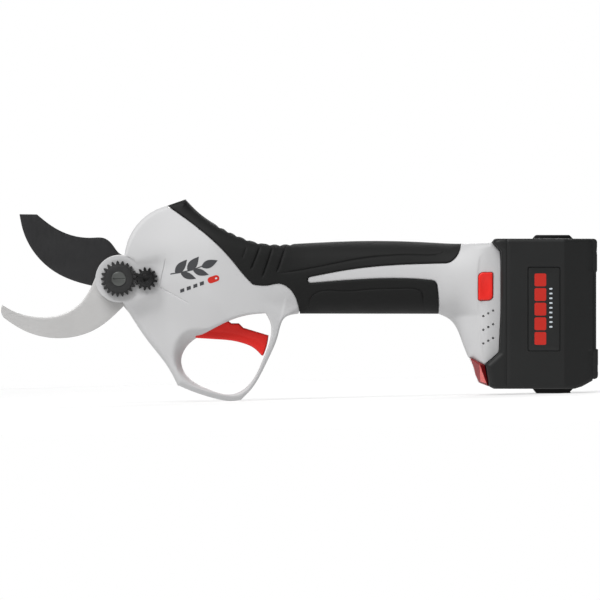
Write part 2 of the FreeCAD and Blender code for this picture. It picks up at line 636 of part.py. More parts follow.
def adjuster_pinion():
    points = gear_points(ADJUST_TEETH[1], ADJUST_MODULE, BACKLASH, math.pi)
    body = gear_y(points, PINION_CENTRE_X, AXIS_Z, ADJUST_Y[0] + 0.9, ADJUST_Y[1])
    body = body.fuse(rod_y(PINION_CENTRE_X, AXIS_Z, 3.9, ADJUST_Y[0] + 0.3, ADJUST_Y[1]))
    return body.cut(rod_y(PINION_CENTRE_X, AXIS_Z, 2.5, -20, 0))


def pinion_axle():
    """The pinion's axle, pressed into the housing, with a hexagon socket in its end."""
    body = rod_y(PINION_CENTRE_X, AXIS_Z, 2.5 - FIT, ADJUST_Y[0] + 0.3, LAND_Y)
    body = body.fuse(rod_y(PINION_CENTRE_X, AXIS_Z, 2.0, LAND_Y, -8.6))
    corners = [V(PINION_CENTRE_X + 1.8 * math.cos(math.pi * i / 3), ADJUST_Y[0], AXIS_Z
                 + 1.8 * math.sin(math.pi * i / 3)) for i in range(6)]
    return body.cut(Part.Face(Part.makePolygon(corners + corners[:1])).extrude(V(0, 2.4, 0)))


def locating_pins():
    return Part.makeCompound([rod_y(x, z, PIN_R, PIN_END_Y, HOOK_Y[1]) for x, z in LOCATING_PINS])


def output_shaft():
    """The gearbox's output: the second carrier with its pins, the shaft, and the bevel pinion on its end."""
    pitch = 2 * math.pi / BEVEL_TEETH[1]
    centres = [pitch * i for i in range(BEVEL_TEETH[1])]
    profile = bevel_profile(BEVEL_RADII[1], BEVEL_RADII[0], BEVEL_TEETH[1], centres,
                            lambda r, h, a: V(h, r * math.cos(a), r * math.sin(a)))
    teeth = cone_gear(profile, BEVEL_RATIO, V(BEVEL_RADII[0] + 0.6, 0, 0), True)
    teeth.translate(V(PIVOT_X, 0, AXIS_Z))
    parts = [teeth, rod_x(4.2, PINION_X[1] - 1.5, -76.8), rod_x(SHAFT_R, -84.0, STAGE_X[1][0] - 0.2)]
    return joined(parts + carrier_parts(1))


def carrier_parts(stage):
    """Plate and pins of a planet carrier."""
    x0, x1 = STAGE_X[stage]
    parts = [rod_x(CARRIER_R, x0 - 2.0, x0 - 0.2)]
    for y, z in planet_places():
        parts.append(rod_x(PLANET_PIN_R, x0 - 0.2, x1, y, z))
    return parts


def planet_places():
    return [(PLANET_CENTRE * math.cos(a), AXIS_Z + PLANET_CENTRE * math.sin(a))
            for a in (math.radians(90 + 120 * i) for i in range(3))]


def sun(x0, x1):
    return gear_x(gear_points(SUN_TEETH, PLANET_MODULE, BACKLASH, math.pi / 2), x0, x1)


def first_carrier():
    """The first carrier, with the second stage's sun gear on it."""
    x0 = STAGE_X[0][0]
    return joined(carrier_parts(0) + [sun(STAGE_X[1][0], x0 - 2.0)])


def planet(stage, index):
    y, z = planet_places()[index]
    direction = math.radians(90 + 120 * index)
    first = direction + math.pi / PLANET_TEETH
    x0, x1 = STAGE_X[stage]
    body = gear_x(gear_points(PLANET_TEETH, PLANET_MODULE, BACKLASH, first), x0, x1, y, z)
    return body.cut(rod_x(PLANET_PIN_R + FIT, x0 - 1, x1 + 1, y, z))


def gearbox_case():
    """The ring gear and its case in one, open towards the motor."""
    first = math.pi / 2 + math.pi / RING_TEETH
    space = gear_points(RING_TEETH, PLANET_MODULE, -BACKLASH, first, DEDENDUM, 0.8)
    body = rod_x(GEARBOX_R, *GEARBOX_X)
    body = body.cut(gear_x(space, GEARBOX_X[0] + 1.6, GEARBOX_X[1] + 1))
    return body.cut(rod_x(5.0, GEARBOX_X[0] - 1, GEARBOX_X[0] + 3))


def output_bearings():
    return Part.makeCompound([rod_x(BEARING_R, x0, x1).cut(rod_x(SHAFT_R + FIT, x0 - 1, x1 + 1))
                              for x0, x1 in BEARINGS_X])


# --- motor ----------------------------------------------------------------------------------------
def motor_can():
    front = MOTOR_X[0]
    body = rod_x(MOTOR_R, *MOTOR_X).cut(rod_x(MOTOR_R - 1.0, front + 1.6, MOTOR_X[1] + 1))
    return body.cut(rod_x(4.0, front - 1, front + 3))


def motor_stator():
    """Laminated ring with six poles."""
    x0, x1 = MOTOR_X[0] + 9, MOTOR_X[1] - 7
    ring = rod_x(MOTOR_R - 1.0 - SEAT, x0, x1).cut(rod_x(11.0, x0 - 1, x1 + 1))
    poles = []
    for i in range(6):
        pole = block((x0, x1), (7.9, 11.4), (AXIS_Z - 2.2, AXIS_Z + 2.2))
        pole.rotate(V(0, 0, AXIS_Z), V(1, 0, 0), 60 * i)
        poles.append(pole)
    return ring.fuse(poles).cut(rod_x(8.2, x0 - 1, x1 + 1))


def motor_rotor():
    """Shaft, magnet and the first stage's sun gear."""
    parts = [rod_x(7.8, MOTOR_X[0] + 9, MOTOR_X[1] - 7), rod_x(1.5, STAGE_X[0][1] - 0.4, BELL_X[1] - 1.4)]
    parts.append(sun(STAGE_X[0][0], STAGE_X[0][1]))
    return joined(parts)


def motor_bearings():
    spans = ((MOTOR_X[0] + 1.6, MOTOR_X[0] + 5.0), (MOTOR_X[1] - 3.6, MOTOR_X[1] - 0.2))
    return Part.makeCompound([rod_x(4.5, a, b).cut(rod_x(1.5 + FIT, a - 1, b + 1)) for a, b in spans])


def motor_end_bell():
    body = rod_x(MOTOR_R, *BELL_X).fuse(rod_x(6.0, MOTOR_X[1] - 4.0, BELL_X[0]))
    body = body.cut(rod_x(4.5 + SEAT, MOTOR_X[1] - 5.0, MOTOR_X[1] - 0.2))
    body = body.cut(rod_x(2.0, MOTOR_X[1] - 1, BELL_X[1] - 1.2))
    vents = []
    for i in range(3):
        vent = block((BELL_X[0] - 1, BELL_X[1] + 1), (-1.3, 1.3), (AXIS_Z + 7.5, AXIS_Z + 11.5))
        vent.rotate(V(0, 0, AXIS_Z), V(1, 0, 0), 120 * i + 60)
        vents.append(vent)
    return body.cut(Part.makeCompound(vents))


def bent_tube(points, r, bend):
    """A tube of radius r through the points, with an arc of radius bend at each corner."""
    pts = [V(*p) for p in points]
    edges = []
    start = pts[0]
    for before, corner, after in zip(pts, pts[1:], pts[2:]):
        to_before = (before - corner).normalize()
        to_after = (after - corner).normalize()
        half = to_before.getAngle(to_after) / 2
        back = bend / math.tan(half)
        a = corner + to_before * back
        b = corner + to_after * back
        middle = (to_before + to_after).normalize()
        on_arc = corner + middle * (bend / math.sin(half) - bend)
        edges += [Part.LineSegment(start, a).toShape(), Part.Arc(a, on_arc, b).toShape()]
        start = b
    edges.append(Part.LineSegment(start, pts[-1]).toShape())
    circle = Part.Wire(Part.Circle(pts[0], pts[1] - pts[0], r).toShape())
    return Part.Wire(edges).makePipeShell([circle], True, False)


def phase_wires():
    """Three leads from the motor's end bell to the control board."""
    wires = []
    for y in (-6.0, 0.0, 6.0):
        route = ((BELL_X[1], y, AXIS_Z - 9.0), (41.6, y, AXIS_Z - 9.0), (43.6, y, 61.4), (50.0, y, 61.4))
        wires.append(bent_tube(route, 0.9, 1.8))
    return Part.makeCompound(wires)


# --- electronics in the handle --------------------------------------------------------------------
def control_board():
    board = block(BOARD_X, (-11.0, 11.0), BOARD_Z)
    parts = [board]
    for x in (56.0, 68.0, 80.0):
        parts += [block((x, x + 5), (side, side + 6), (BOARD_Z[1], BOARD_Z[1] + 1.8)) for side in (-8.0, 2.0)]
    parts.append(rod_z(91.0, 0.0, 4.0, BOARD_Z[1], BOARD_Z[1] + 11.0))
    parts.append(block((72.0, 80.0), (-3.5, 3.5), (BOARD_Z[0] - 1.2, BOARD_Z[0])))
    return joined(parts)


def trigger():
    """The trigger: a finger pad, and a hub inside the housing on its pin."""
    px, pz = TRIGGER_PIVOT
    outline = (line((-58.8, 37.4), (-57.0, 34.6))
               + smooth((-57.0, 34.6), (-45.7, 33.9), (-37.8, 33.2), (-30.9, 31.6), (-25.7, 29.3),
                        (-21.2, 25.1))
               + bow((-21.2, 25.1), (-20.3, 24.9), (-19.9, 25.6))
               + smooth((-19.9, 25.6), (-18.0, 31.4), (-17.3, 36.1))
               + line((-17.3, 36.1), (-31.2, 40.3), (-33.6, 42.7), (-37.8, 42.7), (-42.0, 46.0),
                      (px + 2.0, pz + 4.6))
               + bow((px + 2.0, pz + 4.6), (px - 4.3, pz + 2.6), (-58.8, 37.4)))
    body = prism(outline, -TRIGGER_HALF, TRIGGER_HALF)
    body = body.cut(block(MAGNET_X, (-2.0, 2.0), MAGNET_Z))
    return body.cut(rod_y(px, pz, PIN_R + FIT, -10, 10))


def trigger_magnet():
    return block(MAGNET_X, (-2.0 + SEAT, 2.0 - SEAT), (MAGNET_Z[0] + SEAT, MAGNET_Z[1]))


def trigger_spring():
    """A coil between the trigger's back and the shelf above it."""
    helix = Part.makeHelix(1.45, 5.4, 2.4)
    helix.translate(V(-43.0, 0, 47.6))
    start = helix.Edges[0].Vertexes[0].Point
    tangent = helix.Edges[0].tangentAt(helix.Edges[0].FirstParameter)
    circle = Part.Wire(Part.Circle(start, tangent, 0.35).toShape())
    return Part.Wire(helix.Edges).makePipeShell([circle], True, True)


def hall_sensor():
    """A small board with the sensor that reads the trigger's magnet."""
    board = block((-60.0, -52.0), (-4.5, 4.5), (51.0, 52.0))
    return board.fuse(block((-55.0, -52.5), (-1.6, 1.6), (49.6, 51.0)))


def button_face_y():
    return -side_at(sum(BUTTON_X) / 2, sum(BUTTON_Z) / 2) - BUTTON_PROUD


def power_button():
    y = button_face_y()
    cap = plate(BUTTON_X, BUTTON_Z, y, y + 5.8, 1.8)
    cap = cap.makeFillet(0.6, [e for e in cap.Edges if abs(e.CenterOfMass.y - y) < 1e-3])
    return cap.fuse(plate((BUTTON_X[0] - 1.2, BUTTON_X[1] + 1.0), (BUTTON_Z[0] - 1.2, BUTTON_Z[1] + 1.2),
                          y + 5.8, y + 6.6, 1.5))


def button_switch():
    y = button_face_y() + 6.6
    board = block((96.0, 104.2), (y + 4.0, y + 5.0), (52.0, 74.0))
    stem = rod_y(sum(BUTTON_X) / 2, sum(BUTTON_Z) / 2, 1.6, y + 1.3, y + 2.6)
    case = block((98.6, 104.6), (y + 2.6, y + 4.0), (60.0, 66.0))
    return joined([board, stem, case])


def sounder():
    y = WALL + 0.4 - side_at(SOUNDER[0] - 5.0, SOUNDER[1] - 5.0)
    body = rod_y(*SOUNDER, 5.0, y, y + 3.6)
    return body.cut(rod_y(*SOUNDER, 1.2, y - 1, y + 2.0))


def status_lens():
    """The red lamp cover under the dock: a hollow wedge."""
    outline = line((93.1, 23.9), (101.2, 20.05), (103.2, 8.2), (97.9, 10.3), (96.1, 14.5), (94.9, 19.2),
                   (93.1, 23.9))
    outer = prism(outline, -22.0, 22.0)
    corners = [e for e in outer.Edges if abs(abs(e.CenterOfMass.y) - 22.0) < 1e-3]
    inner = line((96.6, 20.6), (99.8, 18.6), (101.2, 10.8), (98.9, 11.9), (97.4, 15.6), (96.6, 20.6))
    return outer.makeFillet(0.9, corners).cut(prism(inner, -19.5, 19.5))


def lamp_board():
    board = block((98.3, 99.3), (-14.0, 14.0), (13.6, 18.6))
    return joined([board] + [block((97.6, 98.3), (y - 1, y + 1), (15.4, 17.2)) for y in (-10, 0, 10)])


def terminal_block():
    """The block of the dock's contacts, in the rear opening of the housing."""
    body = block((104.5, 111.6), (-RIM_Y + 2 + SEAT, RIM_Y - 2 - SEAT), (RIM_Z[0] + 2 + SEAT, 72.0))
    slots = [block((103.0, 112.0), (y - 0.6, y + 0.6), (z - 4.0, z + 4.0)) for y, z in contact_places()]
    return body.cut(Part.makeCompound(slots))


def contact_places():
    return [(y, z) for y in (-9.0, 0.0, 9.0) for z in (51.0, 66.0)]


def dock_contacts():
    return Part.makeCompound([block((101.0, 115.4), (y - 0.5, y + 0.5), (z - 3.9, z + 3.9))
                              for y, z in contact_places()])


# --- battery pack ---------------------------------------------------------------------------------
def plan(y_in, x0, x1):
    """The battery seen from above, moved in by y_in, from x0 to x1 and with its tapered rear."""
    side = BATTERY_HALF - y_in
    slope = (BATTERY_HALF - BATTERY_REAR_HALF) / (COVER_X[1] - CHAMFER_X)
    rear = side - slope * (x1 - CHAMFER_X)
    corners = [V(x0, -side, 0), V(CHAMFER_X, -side, 0), V(x1, -rear, 0), V(x1, rear, 0),
               V(CHAMFER_X, side, 0), V(x0, side, 0)]
    return Part.Face(Part.makePolygon(corners + corners[:1])).extrude(V(0, 0, 120))


def pack_block():
    """The battery's solid outer shape, case and cover together, with its side edges rounded."""
    outline = line((105.6, 86.95), (107.3, BATTERY_TOP), (COVER_X[1], BATTERY_TOP), (COVER_X[1], 13.0),
                   (154.4, 8.2), (150.2, BATTERY_BOTTOM), (106.1, BATTERY_BOTTOM), (103.7, 8.2),
                   (101.6, 20.1), (109.1, 26.9), (110.0, 49.0), (110.0, 82.1), (105.6, 86.95))
    outer = prism(outline, -40, 40).common(plan(0.0, 95, COVER_X[1]))
    sides = []
    for edge in outer.Edges:
        across = abs(edge.tangentAt(edge.FirstParameter).y) > 0.5
        if abs(edge.CenterOfMass.y) > BATTERY_REAR_HALF - 1 and not across:
            sides.append(edge)
    return outer.makeFillet(PACK_EDGE, sides).common(plan(-1.0, 95, COVER_X[1]))


def battery_case():
    """The pack's case, open at the rear, with a front opening for the dock's rim."""
    outer = pack_block().common(block((90, COVER_X[0]), (-40, 40), (0, 120)))
    hollow = line((112.0, 87.1), (165.0, 87.1), (165.0, 16.4), (151.3, 8.9), (106.6, 8.9), (104.6, 17.6),
                  (111.0, 25.0), (112.0, 49.0), (112.0, 87.1))
    body = outer.cut(prism(hollow, -40, 40).common(plan(2.0, 95, COVER_X[1])))
    body = body.cut(block((108.0, 113.0), (-RIM_Y - 0.3, RIM_Y + 0.3), (RIM_Z[0] - 0.3, RIM_Z[1] + 0.3)))
    window = (RELEASE_X[0] - 0.3, RELEASE_X[1] + 0.3)
    body = body.cut(block(window, (-RELEASE_HALF - 0.3, RELEASE_HALF + 0.3), (0, 120)))
    depths = ((-40, -BATTERY_HALF + 1.2), (BATTERY_HALF - 1.2, 40))
    recess = [plate(LABEL_X, LABEL_Z, y0, y1, 1.0) for y0, y1 in depths]
    posts = []
    for y, z in case_screw_places():
        side = (y, y + 8) if y > 0 else (y - 8, y)
        web = block((POST_X, COVER_X[0]), side, (z - 1.5, z + 1.5))
        posts.append(rod_x(2.6, POST_X, COVER_X[0], y, z).fuse(web).common(plan(1.0, 95, COVER_X[1])))
    body = body.cut(Part.makeCompound(recess)).fuse(posts)
    bores = [rod_x(1.2 + SEAT, POST_X - 1, COVER_X[0] + 1, y, z) for y, z in case_screw_places()]
    return body.cut(Part.makeCompound(bores))


def case_screw_places():
    return [(y, z) for z in (18.0, 82.5) for y in (-21.0, 21.0)]


def battery_cover():
    """The rear cover, thinner in its middle and above, with four countersunk screw holes."""
    middle = block((COVER_X[1] - 1.0, COVER_X[1] + 1), (-40, 40), COVER_STEPS_Z)
    above = block((COVER_X[1] - 0.5, COVER_X[1] + 1), (-40, 40), (COVER_STEPS_Z[1], BATTERY_TOP + 1))
    body = pack_block().common(block(COVER_X, (-40, 40), (0, 120))).cut(middle.fuse(above))
    holes = [rod_x(1.2 + SEAT, COVER_X[0] - 1, COVER_X[1] + 1, y, z) for y, z in case_screw_places()]
    heads = [rod_x(2.4, COVER_X[0] + 1.4, COVER_X[1] + 1, y, z) for y, z in case_screw_places()]
    return body.cut(Part.makeCompound(holes)).cut(Part.makeCompound(heads))


def case_screws():
    screws = []
    for y, z in case_screw_places():
        head = rod_x(2.3, COVER_X[0] + 1.4, COVER_X[0] + 2.4, y, z)
        screws.append(rod_x(1.2, POST_X + 0.5, COVER_X[0] + 1.4, y, z).fuse(head))
    return Part.makeCompound(screws)


def battery_labels():
    inner = BATTERY_HALF - 1.2
    x = (LABEL_X[0] + 0.3, LABEL_X[1] - 0.3)
    z = (LABEL_Z[0] + 0.3, LABEL_Z[1] - 0.3)
    return Part.makeCompound([plate(x, z, -inner - 0.5, -inner, 0.8), plate(x, z, inner, inner + 0.5, 0.8)])


def cell_places():
    return [(x, y) for x in CELL_X for y in CELL_Y]


def cells():
    """Six cells, with a raised positive cap at alternate ends."""
    parts = []
    for i, (x, y) in enumerate(cell_places()):
        body = rod_z(x, y, CELL_R, CELL_Z[0] + 0.8 * (i % 2), CELL_Z[1] - 0.8 * ((i + 1) % 2))
        cap = (CELL_Z[0], CELL_Z[0] + 0.8) if i % 2 else (CELL_Z[1] - 0.8, CELL_Z[1])
        parts.append(body.fuse(rod_z(x, y, 3.2, *cap)))
    return Part.makeCompound(parts)


def cell_straps():
    """Nickel strips that join the cells in series."""
    pairs = (((0, 1), (2, 5), (4, 3)), ((1, 2), (5, 4), (3, 3)))
    places = cell_places()
    parts = []
    for layer, z in ((0, CELL_Z[1]), (1, CELL_Z[0] - 0.3)):
        for a, b in pairs[layer]:
            (xa, ya), (xb, yb) = places[a], places[b]
            x = (min(xa, xb) - 3.0, max(xa, xb) + 3.0)
            y = (min(ya, yb) - 3.0, max(ya, yb) + 3.0)
            parts.append(block(x, y, (z, z + 0.3)))
    return Part.makeCompound(parts)


def cell_holders():
    """Two frames that keep the cells apart."""
    outline = plan(2.3, 116.6, 154.6)
    holes = Part.makeCompound([rod_z(x, y, CELL_R + SEAT, 0, 120) for x, y in cell_places()])
    frames = []
    for z in ((22.0, 25.0), (68.0, 71.0)):
        frame = outline.common(block((100, 170), (-40, 40), z)).cut(holes)
        frames += frame.Solids
    return Part.makeCompound(frames)


def protection_board():
    board = block((113.4, 114.9), (-24.0, 24.0), (12.0, 34.0)).cut(block((113, 115), (-6.0, 6.0), (11, 28.0)))
    return joined([board, block((114.9, 116.4), (-18.0, -12.0), (16.0, 22.0)),
                   block((114.9, 116.4), (10.0, 16.0), (22.0, 28.0))])


def battery_contacts():
    """Spring contacts that grip the dock's blades from both sides."""
    parts = []
    for y, z in contact_places():
        left = block((113.0, 116.4), (y - 1.7, y - 0.7), (z - 3.0, z + 3.0))
        right = block((113.0, 116.4), (y + 0.7, y + 1.7), (z - 3.0, z + 3.0))
        back = block((115.8, 116.4), (y - 1.7, y + 1.7), (z - 3.0, z + 3.0))
        parts.append(joined([left, right, back]))
    return Part.makeCompound(parts)


def release_button(top):
    """A push button with an arm that reaches forward and a nose that stands in a catch of the dock's rim."""
    x0, x1 = RELEASE_X
    rim = 96.0 - RIM_Z[0] if not top else RIM_Z[1]
    cap = line((x0, BATTERY_TOP), (x0 + 1.7, 91.2), (x1 - 2.1, 91.2), (x1, BATTERY_TOP), (x1, 86.4),
               (x0, 86.4), (x0, BATTERY_TOP))
    half = 5.0
    arm = (114.9, 116.5)
    body = joined([prism(cap, -RELEASE_HALF, RELEASE_HALF),
                   block((x0 - 1.0, x1 + 1.0), (-RELEASE_HALF - 1.0, RELEASE_HALF + 1.0), (84.9, 86.7)),
                   block((arm[0], x0), (-half, half), (84.9, 86.7)),
                   block(arm, (-half, half), (rim - 4.8, 86.7)),
                   block((111.9, arm[1]), (-half, half), (rim - 4.8, rim - 3.1)),
                   block((111.9, 113.7), (-half, half), (rim - 4.8, rim - 0.4))])
    if top:
        return body
    body = body.mirror(V(0, 0, 48.0), V(0, 0, 1))
    return body.fuse(block((x0 + 1.9, x1 - 1.4), (-RELEASE_HALF, RELEASE_HALF), (4.3, 5.0)))


def release_spring(side):
    """A leaf spring between a release button and the cells. side is 1 at the top and -1 at the bottom."""
    top = 48.0 + side * 36.5
    foot = 48.0 + side * 33.3
    thick = 0.4 * side
    leaf = (line((130.5, foot), (132.5, foot)) + bow((132.5, foot), (138.9, top), (145.3, foot))
            + line((145.3, foot), (147.3, foot), (147.3, foot - thick), (145.3, foot - thick))
            + bow((145.3, foot - thick), (138.9, top - thick), (132.5, foot - thick))
            + line((132.5, foot - thick), (130.5, foot - thick), (130.5, foot)))
    return prism(leaf, -4.0, 4.0)


def housing_screws():
    screws = []
    for x, z in HOUSING_SCREWS:
        seat = screw_depth(x) - 1.5
        head = rod_y(x, z, SCREW_HEAD_R, seat + SEAT, seat + 2.1)
        drive = rod_y(x, z, 1.1, seat + 1.0, seat + 3.0)
        shank = rod_y(x, z, SCREW_R, -thread_depth(x, z) + 0.6, seat + SEAT)
        screws.append(shank.fuse(head).cut(drive))
    return Part.makeCompound(screws)


def trigger_pin():
    return rod_y(*TRIGGER_PIVOT, PIN_R, -10.6, 10.6)


# --- all sub-parts ----------------------------------------------------------------------------------
def main():
    os.makedirs("parts", exist_ok=True)
    core = grip_core(True)
    save("grip_left", grip(core, True))
    save("housing_left", left_half(plain_half(core, True)))
    core = grip_core(False)
    save("grip_right", mirrored(grip(core, False)))
    save("housing_right", right_half(plain_half(core, False)))
    parts = {
        "fixed_blade": fixed_blade(), "moving_blade": moving_blade(), "drive_sector": drive_sector(),
        "sector_screws": sector_screws(), "pivot_bush": pivot_bush(), "thrust_washer": thrust_washer(),
        "pivot_bolt": pivot_bolt(), "pivot_nut": pivot_nut(), "adjuster_gear": adjuster_gear(),
        "adjuster_pinion": adjuster_pinion(), "pinion_axle": pinion_axle(),
        "blade_locating_pins": locating_pins(), "output_shaft": output_shaft(),
        "output_bearings": output_bearings(), "first_carrier": first_carrier(),
        "gearbox_case": gearbox_case(), "motor_can": motor_can(), "motor_stator": motor_stator(),
        "motor_rotor": motor_rotor(), "motor_bearings": motor_bearings(), "motor_end_bell": motor_end_bell(),
        "phase_wires": phase_wires(), "control_board": control_board(), "trigger": trigger(),
        "trigger_pin": trigger_pin(), "trigger_magnet": trigger_magnet(), "trigger_spring": trigger_spring(),
        "hall_sensor": hall_sensor(), "power_button": power_button(), "button_switch": button_switch(),
        "sounder": sounder(), "status_lens": status_lens(), "lamp_board": lamp_board(),
        "terminal_block": terminal_block(), "dock_contacts": dock_contacts(), "battery_case": battery_case(),
        "battery_cover": battery_cover(), "case_screws": case_screws(), "battery_labels": battery_labels(),
        "cells": cells(), "cell_straps": cell_straps(), "cell_holders": cell_holders(),
        "protection_board": protection_board(), "battery_contacts": battery_contacts(),
        "release_button_top": release_button(True), "release_button_bottom": release_button(False),
        "release_spring_top": release_spring(1), "release_spring_bottom": release_spring(-1),
        "housing_screws": housing_screws(),
    }
    for stage in range(2):
        for index in range(3):
            parts[f"planet_{stage + 1}_{index + 1}"] = planet(stage, index)
    for name, shape in parts.items():
        save(name, shape)


main()
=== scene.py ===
import json
import math

import bmesh
import bpy
import numpy as np
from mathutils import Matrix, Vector
from mathutils.geometry import delaunay_2d_cdt
from mathutils.kdtree import KDTree


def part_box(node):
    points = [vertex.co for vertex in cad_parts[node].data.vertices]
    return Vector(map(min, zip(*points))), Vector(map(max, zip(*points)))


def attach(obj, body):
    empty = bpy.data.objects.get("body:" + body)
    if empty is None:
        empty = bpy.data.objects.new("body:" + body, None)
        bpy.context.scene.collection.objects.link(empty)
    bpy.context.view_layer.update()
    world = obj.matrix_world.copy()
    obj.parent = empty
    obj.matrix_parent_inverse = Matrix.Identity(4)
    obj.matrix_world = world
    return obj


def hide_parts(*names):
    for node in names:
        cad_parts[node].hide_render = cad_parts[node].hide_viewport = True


# Battery electric pruner: the looks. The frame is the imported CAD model. Lengths are in millimetres here, and
# a piece is put into metres when its mesh is made. +X runs from the blades to the battery, +Z is up, and -Y
# is the side with the blade adjuster. Most pieces are moulded: an outline in one plane is filled with
# triangles, and a height is given to each point for the outer face and another for the inner one.

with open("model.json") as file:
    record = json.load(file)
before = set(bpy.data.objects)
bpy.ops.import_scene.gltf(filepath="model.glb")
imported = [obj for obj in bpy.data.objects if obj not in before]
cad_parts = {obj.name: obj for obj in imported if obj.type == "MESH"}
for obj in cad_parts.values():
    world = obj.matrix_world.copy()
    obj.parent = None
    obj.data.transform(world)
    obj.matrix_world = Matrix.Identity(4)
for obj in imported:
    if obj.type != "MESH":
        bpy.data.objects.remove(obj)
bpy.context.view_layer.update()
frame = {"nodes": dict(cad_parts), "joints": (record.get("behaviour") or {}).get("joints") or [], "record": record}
MM = 0.001


# --- driving dimensions ---
def in_mm(corner):
    return [c / MM for c in corner]


JOINTS = {j["name"]: j for j in frame["joints"]}
PIVOT_X, _, AXIS_Z = in_mm(JOINTS["blade_swing"]["pos_m"])
STEP = 1.2                   # spacing of the points of a moulded surface
EDGE_STEP = 1.0              # spacing along an outline
SHARP = math.radians(38)     # edges turned by more than this are shaded sharp
THINNEST = 0.3               # least thickness of a moulded wall
APART = 0.04                 # least distance between the points of a surface
BATCH = 3000                 # points whose distances are taken at once

# Half width of the housing along its length, as in the CAD model.
WIDTHS = ((-140, 11), (-115, 11.2), (-100, 11.3), (-88, 11.9), (-76, 13.4), (-62, 16.6), (-48, 19),
          (-30, 19.2), (-10, 18), (20, 17), (55, 17), (75, 18), (86, 20.6), (97, 24.2), (104, 24.4),
          (112, 24.2), (125, 24))
LEAST_HALF = 6.4
HEAD_CORNER = (-62.9, 110.8)
SPINE = (HEAD_CORNER, (-55.5, 103.4), (-47.0, 97.4), (-34.7, 91.0), (-23.0, 87.0), (-11.0, 85.9))
HANDLE_TOP = ((-11.0, 85.9), (10.2, 87.1), (40.2, 88.0), (70.1, 87.2), (88.6, 86.4), (105.1, 86.9))
REAR_UNDER = ((92.6, 24.2), (89.5, 31.8), (86.5, 39.5), (82.4, 44.8), (76.1, 47.9))
HANDLE_FRONT = (0.0, 48.0)
GUARD_OUTER = (HANDLE_FRONT, (-8.3, 45.8), (-12.0, 36.6), (-18.3, 21.3), (-26.7, 6.6), (-32.5, 0.6))
GUARD_FLOOR = ((-32.5, 0.6), (-37.8, 0.0), (-45.7, 1.1), (-62.5, 6.6), (-67.3, 8.7))
GUARD_FRONT = ((-67.3, 8.7), (-72.0, 17.7), (-82.5, 31.6), (-92.7, 46.5), (-96.5, 52.8))
GUARD_HOLE = ((-18.8, 48.2), (-16.0, 42.0), (-15.8, 38.2), (-20.4, 22.9), (-28.8, 8.2), (-36.7, 3.7),
              (-50.9, 6.6), (-62.5, 14.0), (-65.4, 21.9), (-62.0, 30.3), (-50.9, 38.0), (-37.8, 44.5),
              (-24.6, 47.8), (-18.8, 48.2))
GRIP_FRONT = ((-72.9, 107.3), (-59.4, 97.6), (-44.0, 84.5), (-36.3, 76.0), (-30.0, 68.3), (-25.9, 64.1))
GRIP_WEB = ((-25.9, 64.1), (-18.0, 63.6), (-10.8, 64.5), (-6.6, 62.5), (-2.5, 57.2), (0.0, 48.0))
STRIPE_UNDER = ((72.3, 66.3), (66.0, 66.9), (53.4, 67.4), (30.1, 66.6), (5.7, 64.7))
STRIPE_OVER = ((5.2, 68.2), (26.0, 72.1), (54.4, 74.9), (78.1, 75.7))
GRIP_END_X = 88.4
GRIP_REAR = ((81.2, 75.9), (84.9, 78.3), (87.4, 82.2), (GRIP_END_X, 86.5))
UPPER_GROOVE = ((-12.3, 69.9), (3.5, 72.4), (16.8, 75.0), (36.8, 78.7), (50.2, 79.9), (63.5, 80.2),
                (75.5, 80.4), (78.1, 81.4), (79.5, 86.1))
LOWER_GROOVE = ((5.5, 48.1), (5.8, 56.7), (7.8, 58.7), (23.5, 60.4), (40.2, 61.4), (53.5, 61.7),
                (63.5, 61.4), (66.2, 60.4), (67.5, 56.7), (67.8, 48.1))
RIBS = (((-21.9, 84.5), (-26.9, 72.2)), ((-15.0, 84.1), (-20.7, 67.9)), ((-7.6, 85.3), (-12.7, 70.6)),
        ((-29.3, 84.5), (-31.6, 78.3)))
RIPPLES_X = (-44.3, -39.6, -34.7, -29.3, -23.1, -16.5, -11.0, -5.5)
HEAD_CREASE = (((-73.6, 78.7), (-77.0, 63.5)), ((-77.0, 63.5), (-76.8, 62.6), (-76.0, 61.9)),
               ((-76.0, 61.9), (-61.1, 53.8)))
WEB_CREASE = ((-7.9, 57.8), (-9.4, 50.0), (-11.3, 42.4))
FACET_EDGE = ((103.2, 81.0), (98.9, 79.2), (98.0, 76.0), (98.0, 45.0), (100.9, 21.1))

GRIP_PROUD = 0.7
GRIP_SKIN = 1.2              # thickness of the grip where it lies in the housing
GRIP_LAP = 1.6               # its thickness over the top and bottom of the handle
WALL = 2.3
LAND_H = 11.0                # the flat under the adjuster gears, from the middle plane
BOSS_R = 12.9
HOOK_ROOM = 4.0
BLADE_ROOM = 3.8
RIGHT_WALL = 9.7
NUT_FLOOR = 12.6
NUT_BOSS = (11.5, 16.0)      # radius, and height from the middle plane
SLOT_HALF = 6.4
HOUSING_SCREWS = ((-84.0, 90.0), (-70.0, 97.0), (-76.0, 38.5), (-52.0, 83.0), (43.5, 69.9), (101.0, 78.5),
                  (97.0, 31.0))
DOCK_X = 109.8
SCREW_R = 2.95
BUTTON = ((97.6, 105.6), (55.3, 70.6))
BUTTON_MIDDLE = [sum(span) / 2 for span in BUTTON]
BUTTON_PROUD = 0.7
MARK_PROUD = 0.07
TAB_MIDDLE = (-47.4, 66.9)   # the red tab beside the emblem
MARK_TURN = 19               # degrees that the row of marks leans

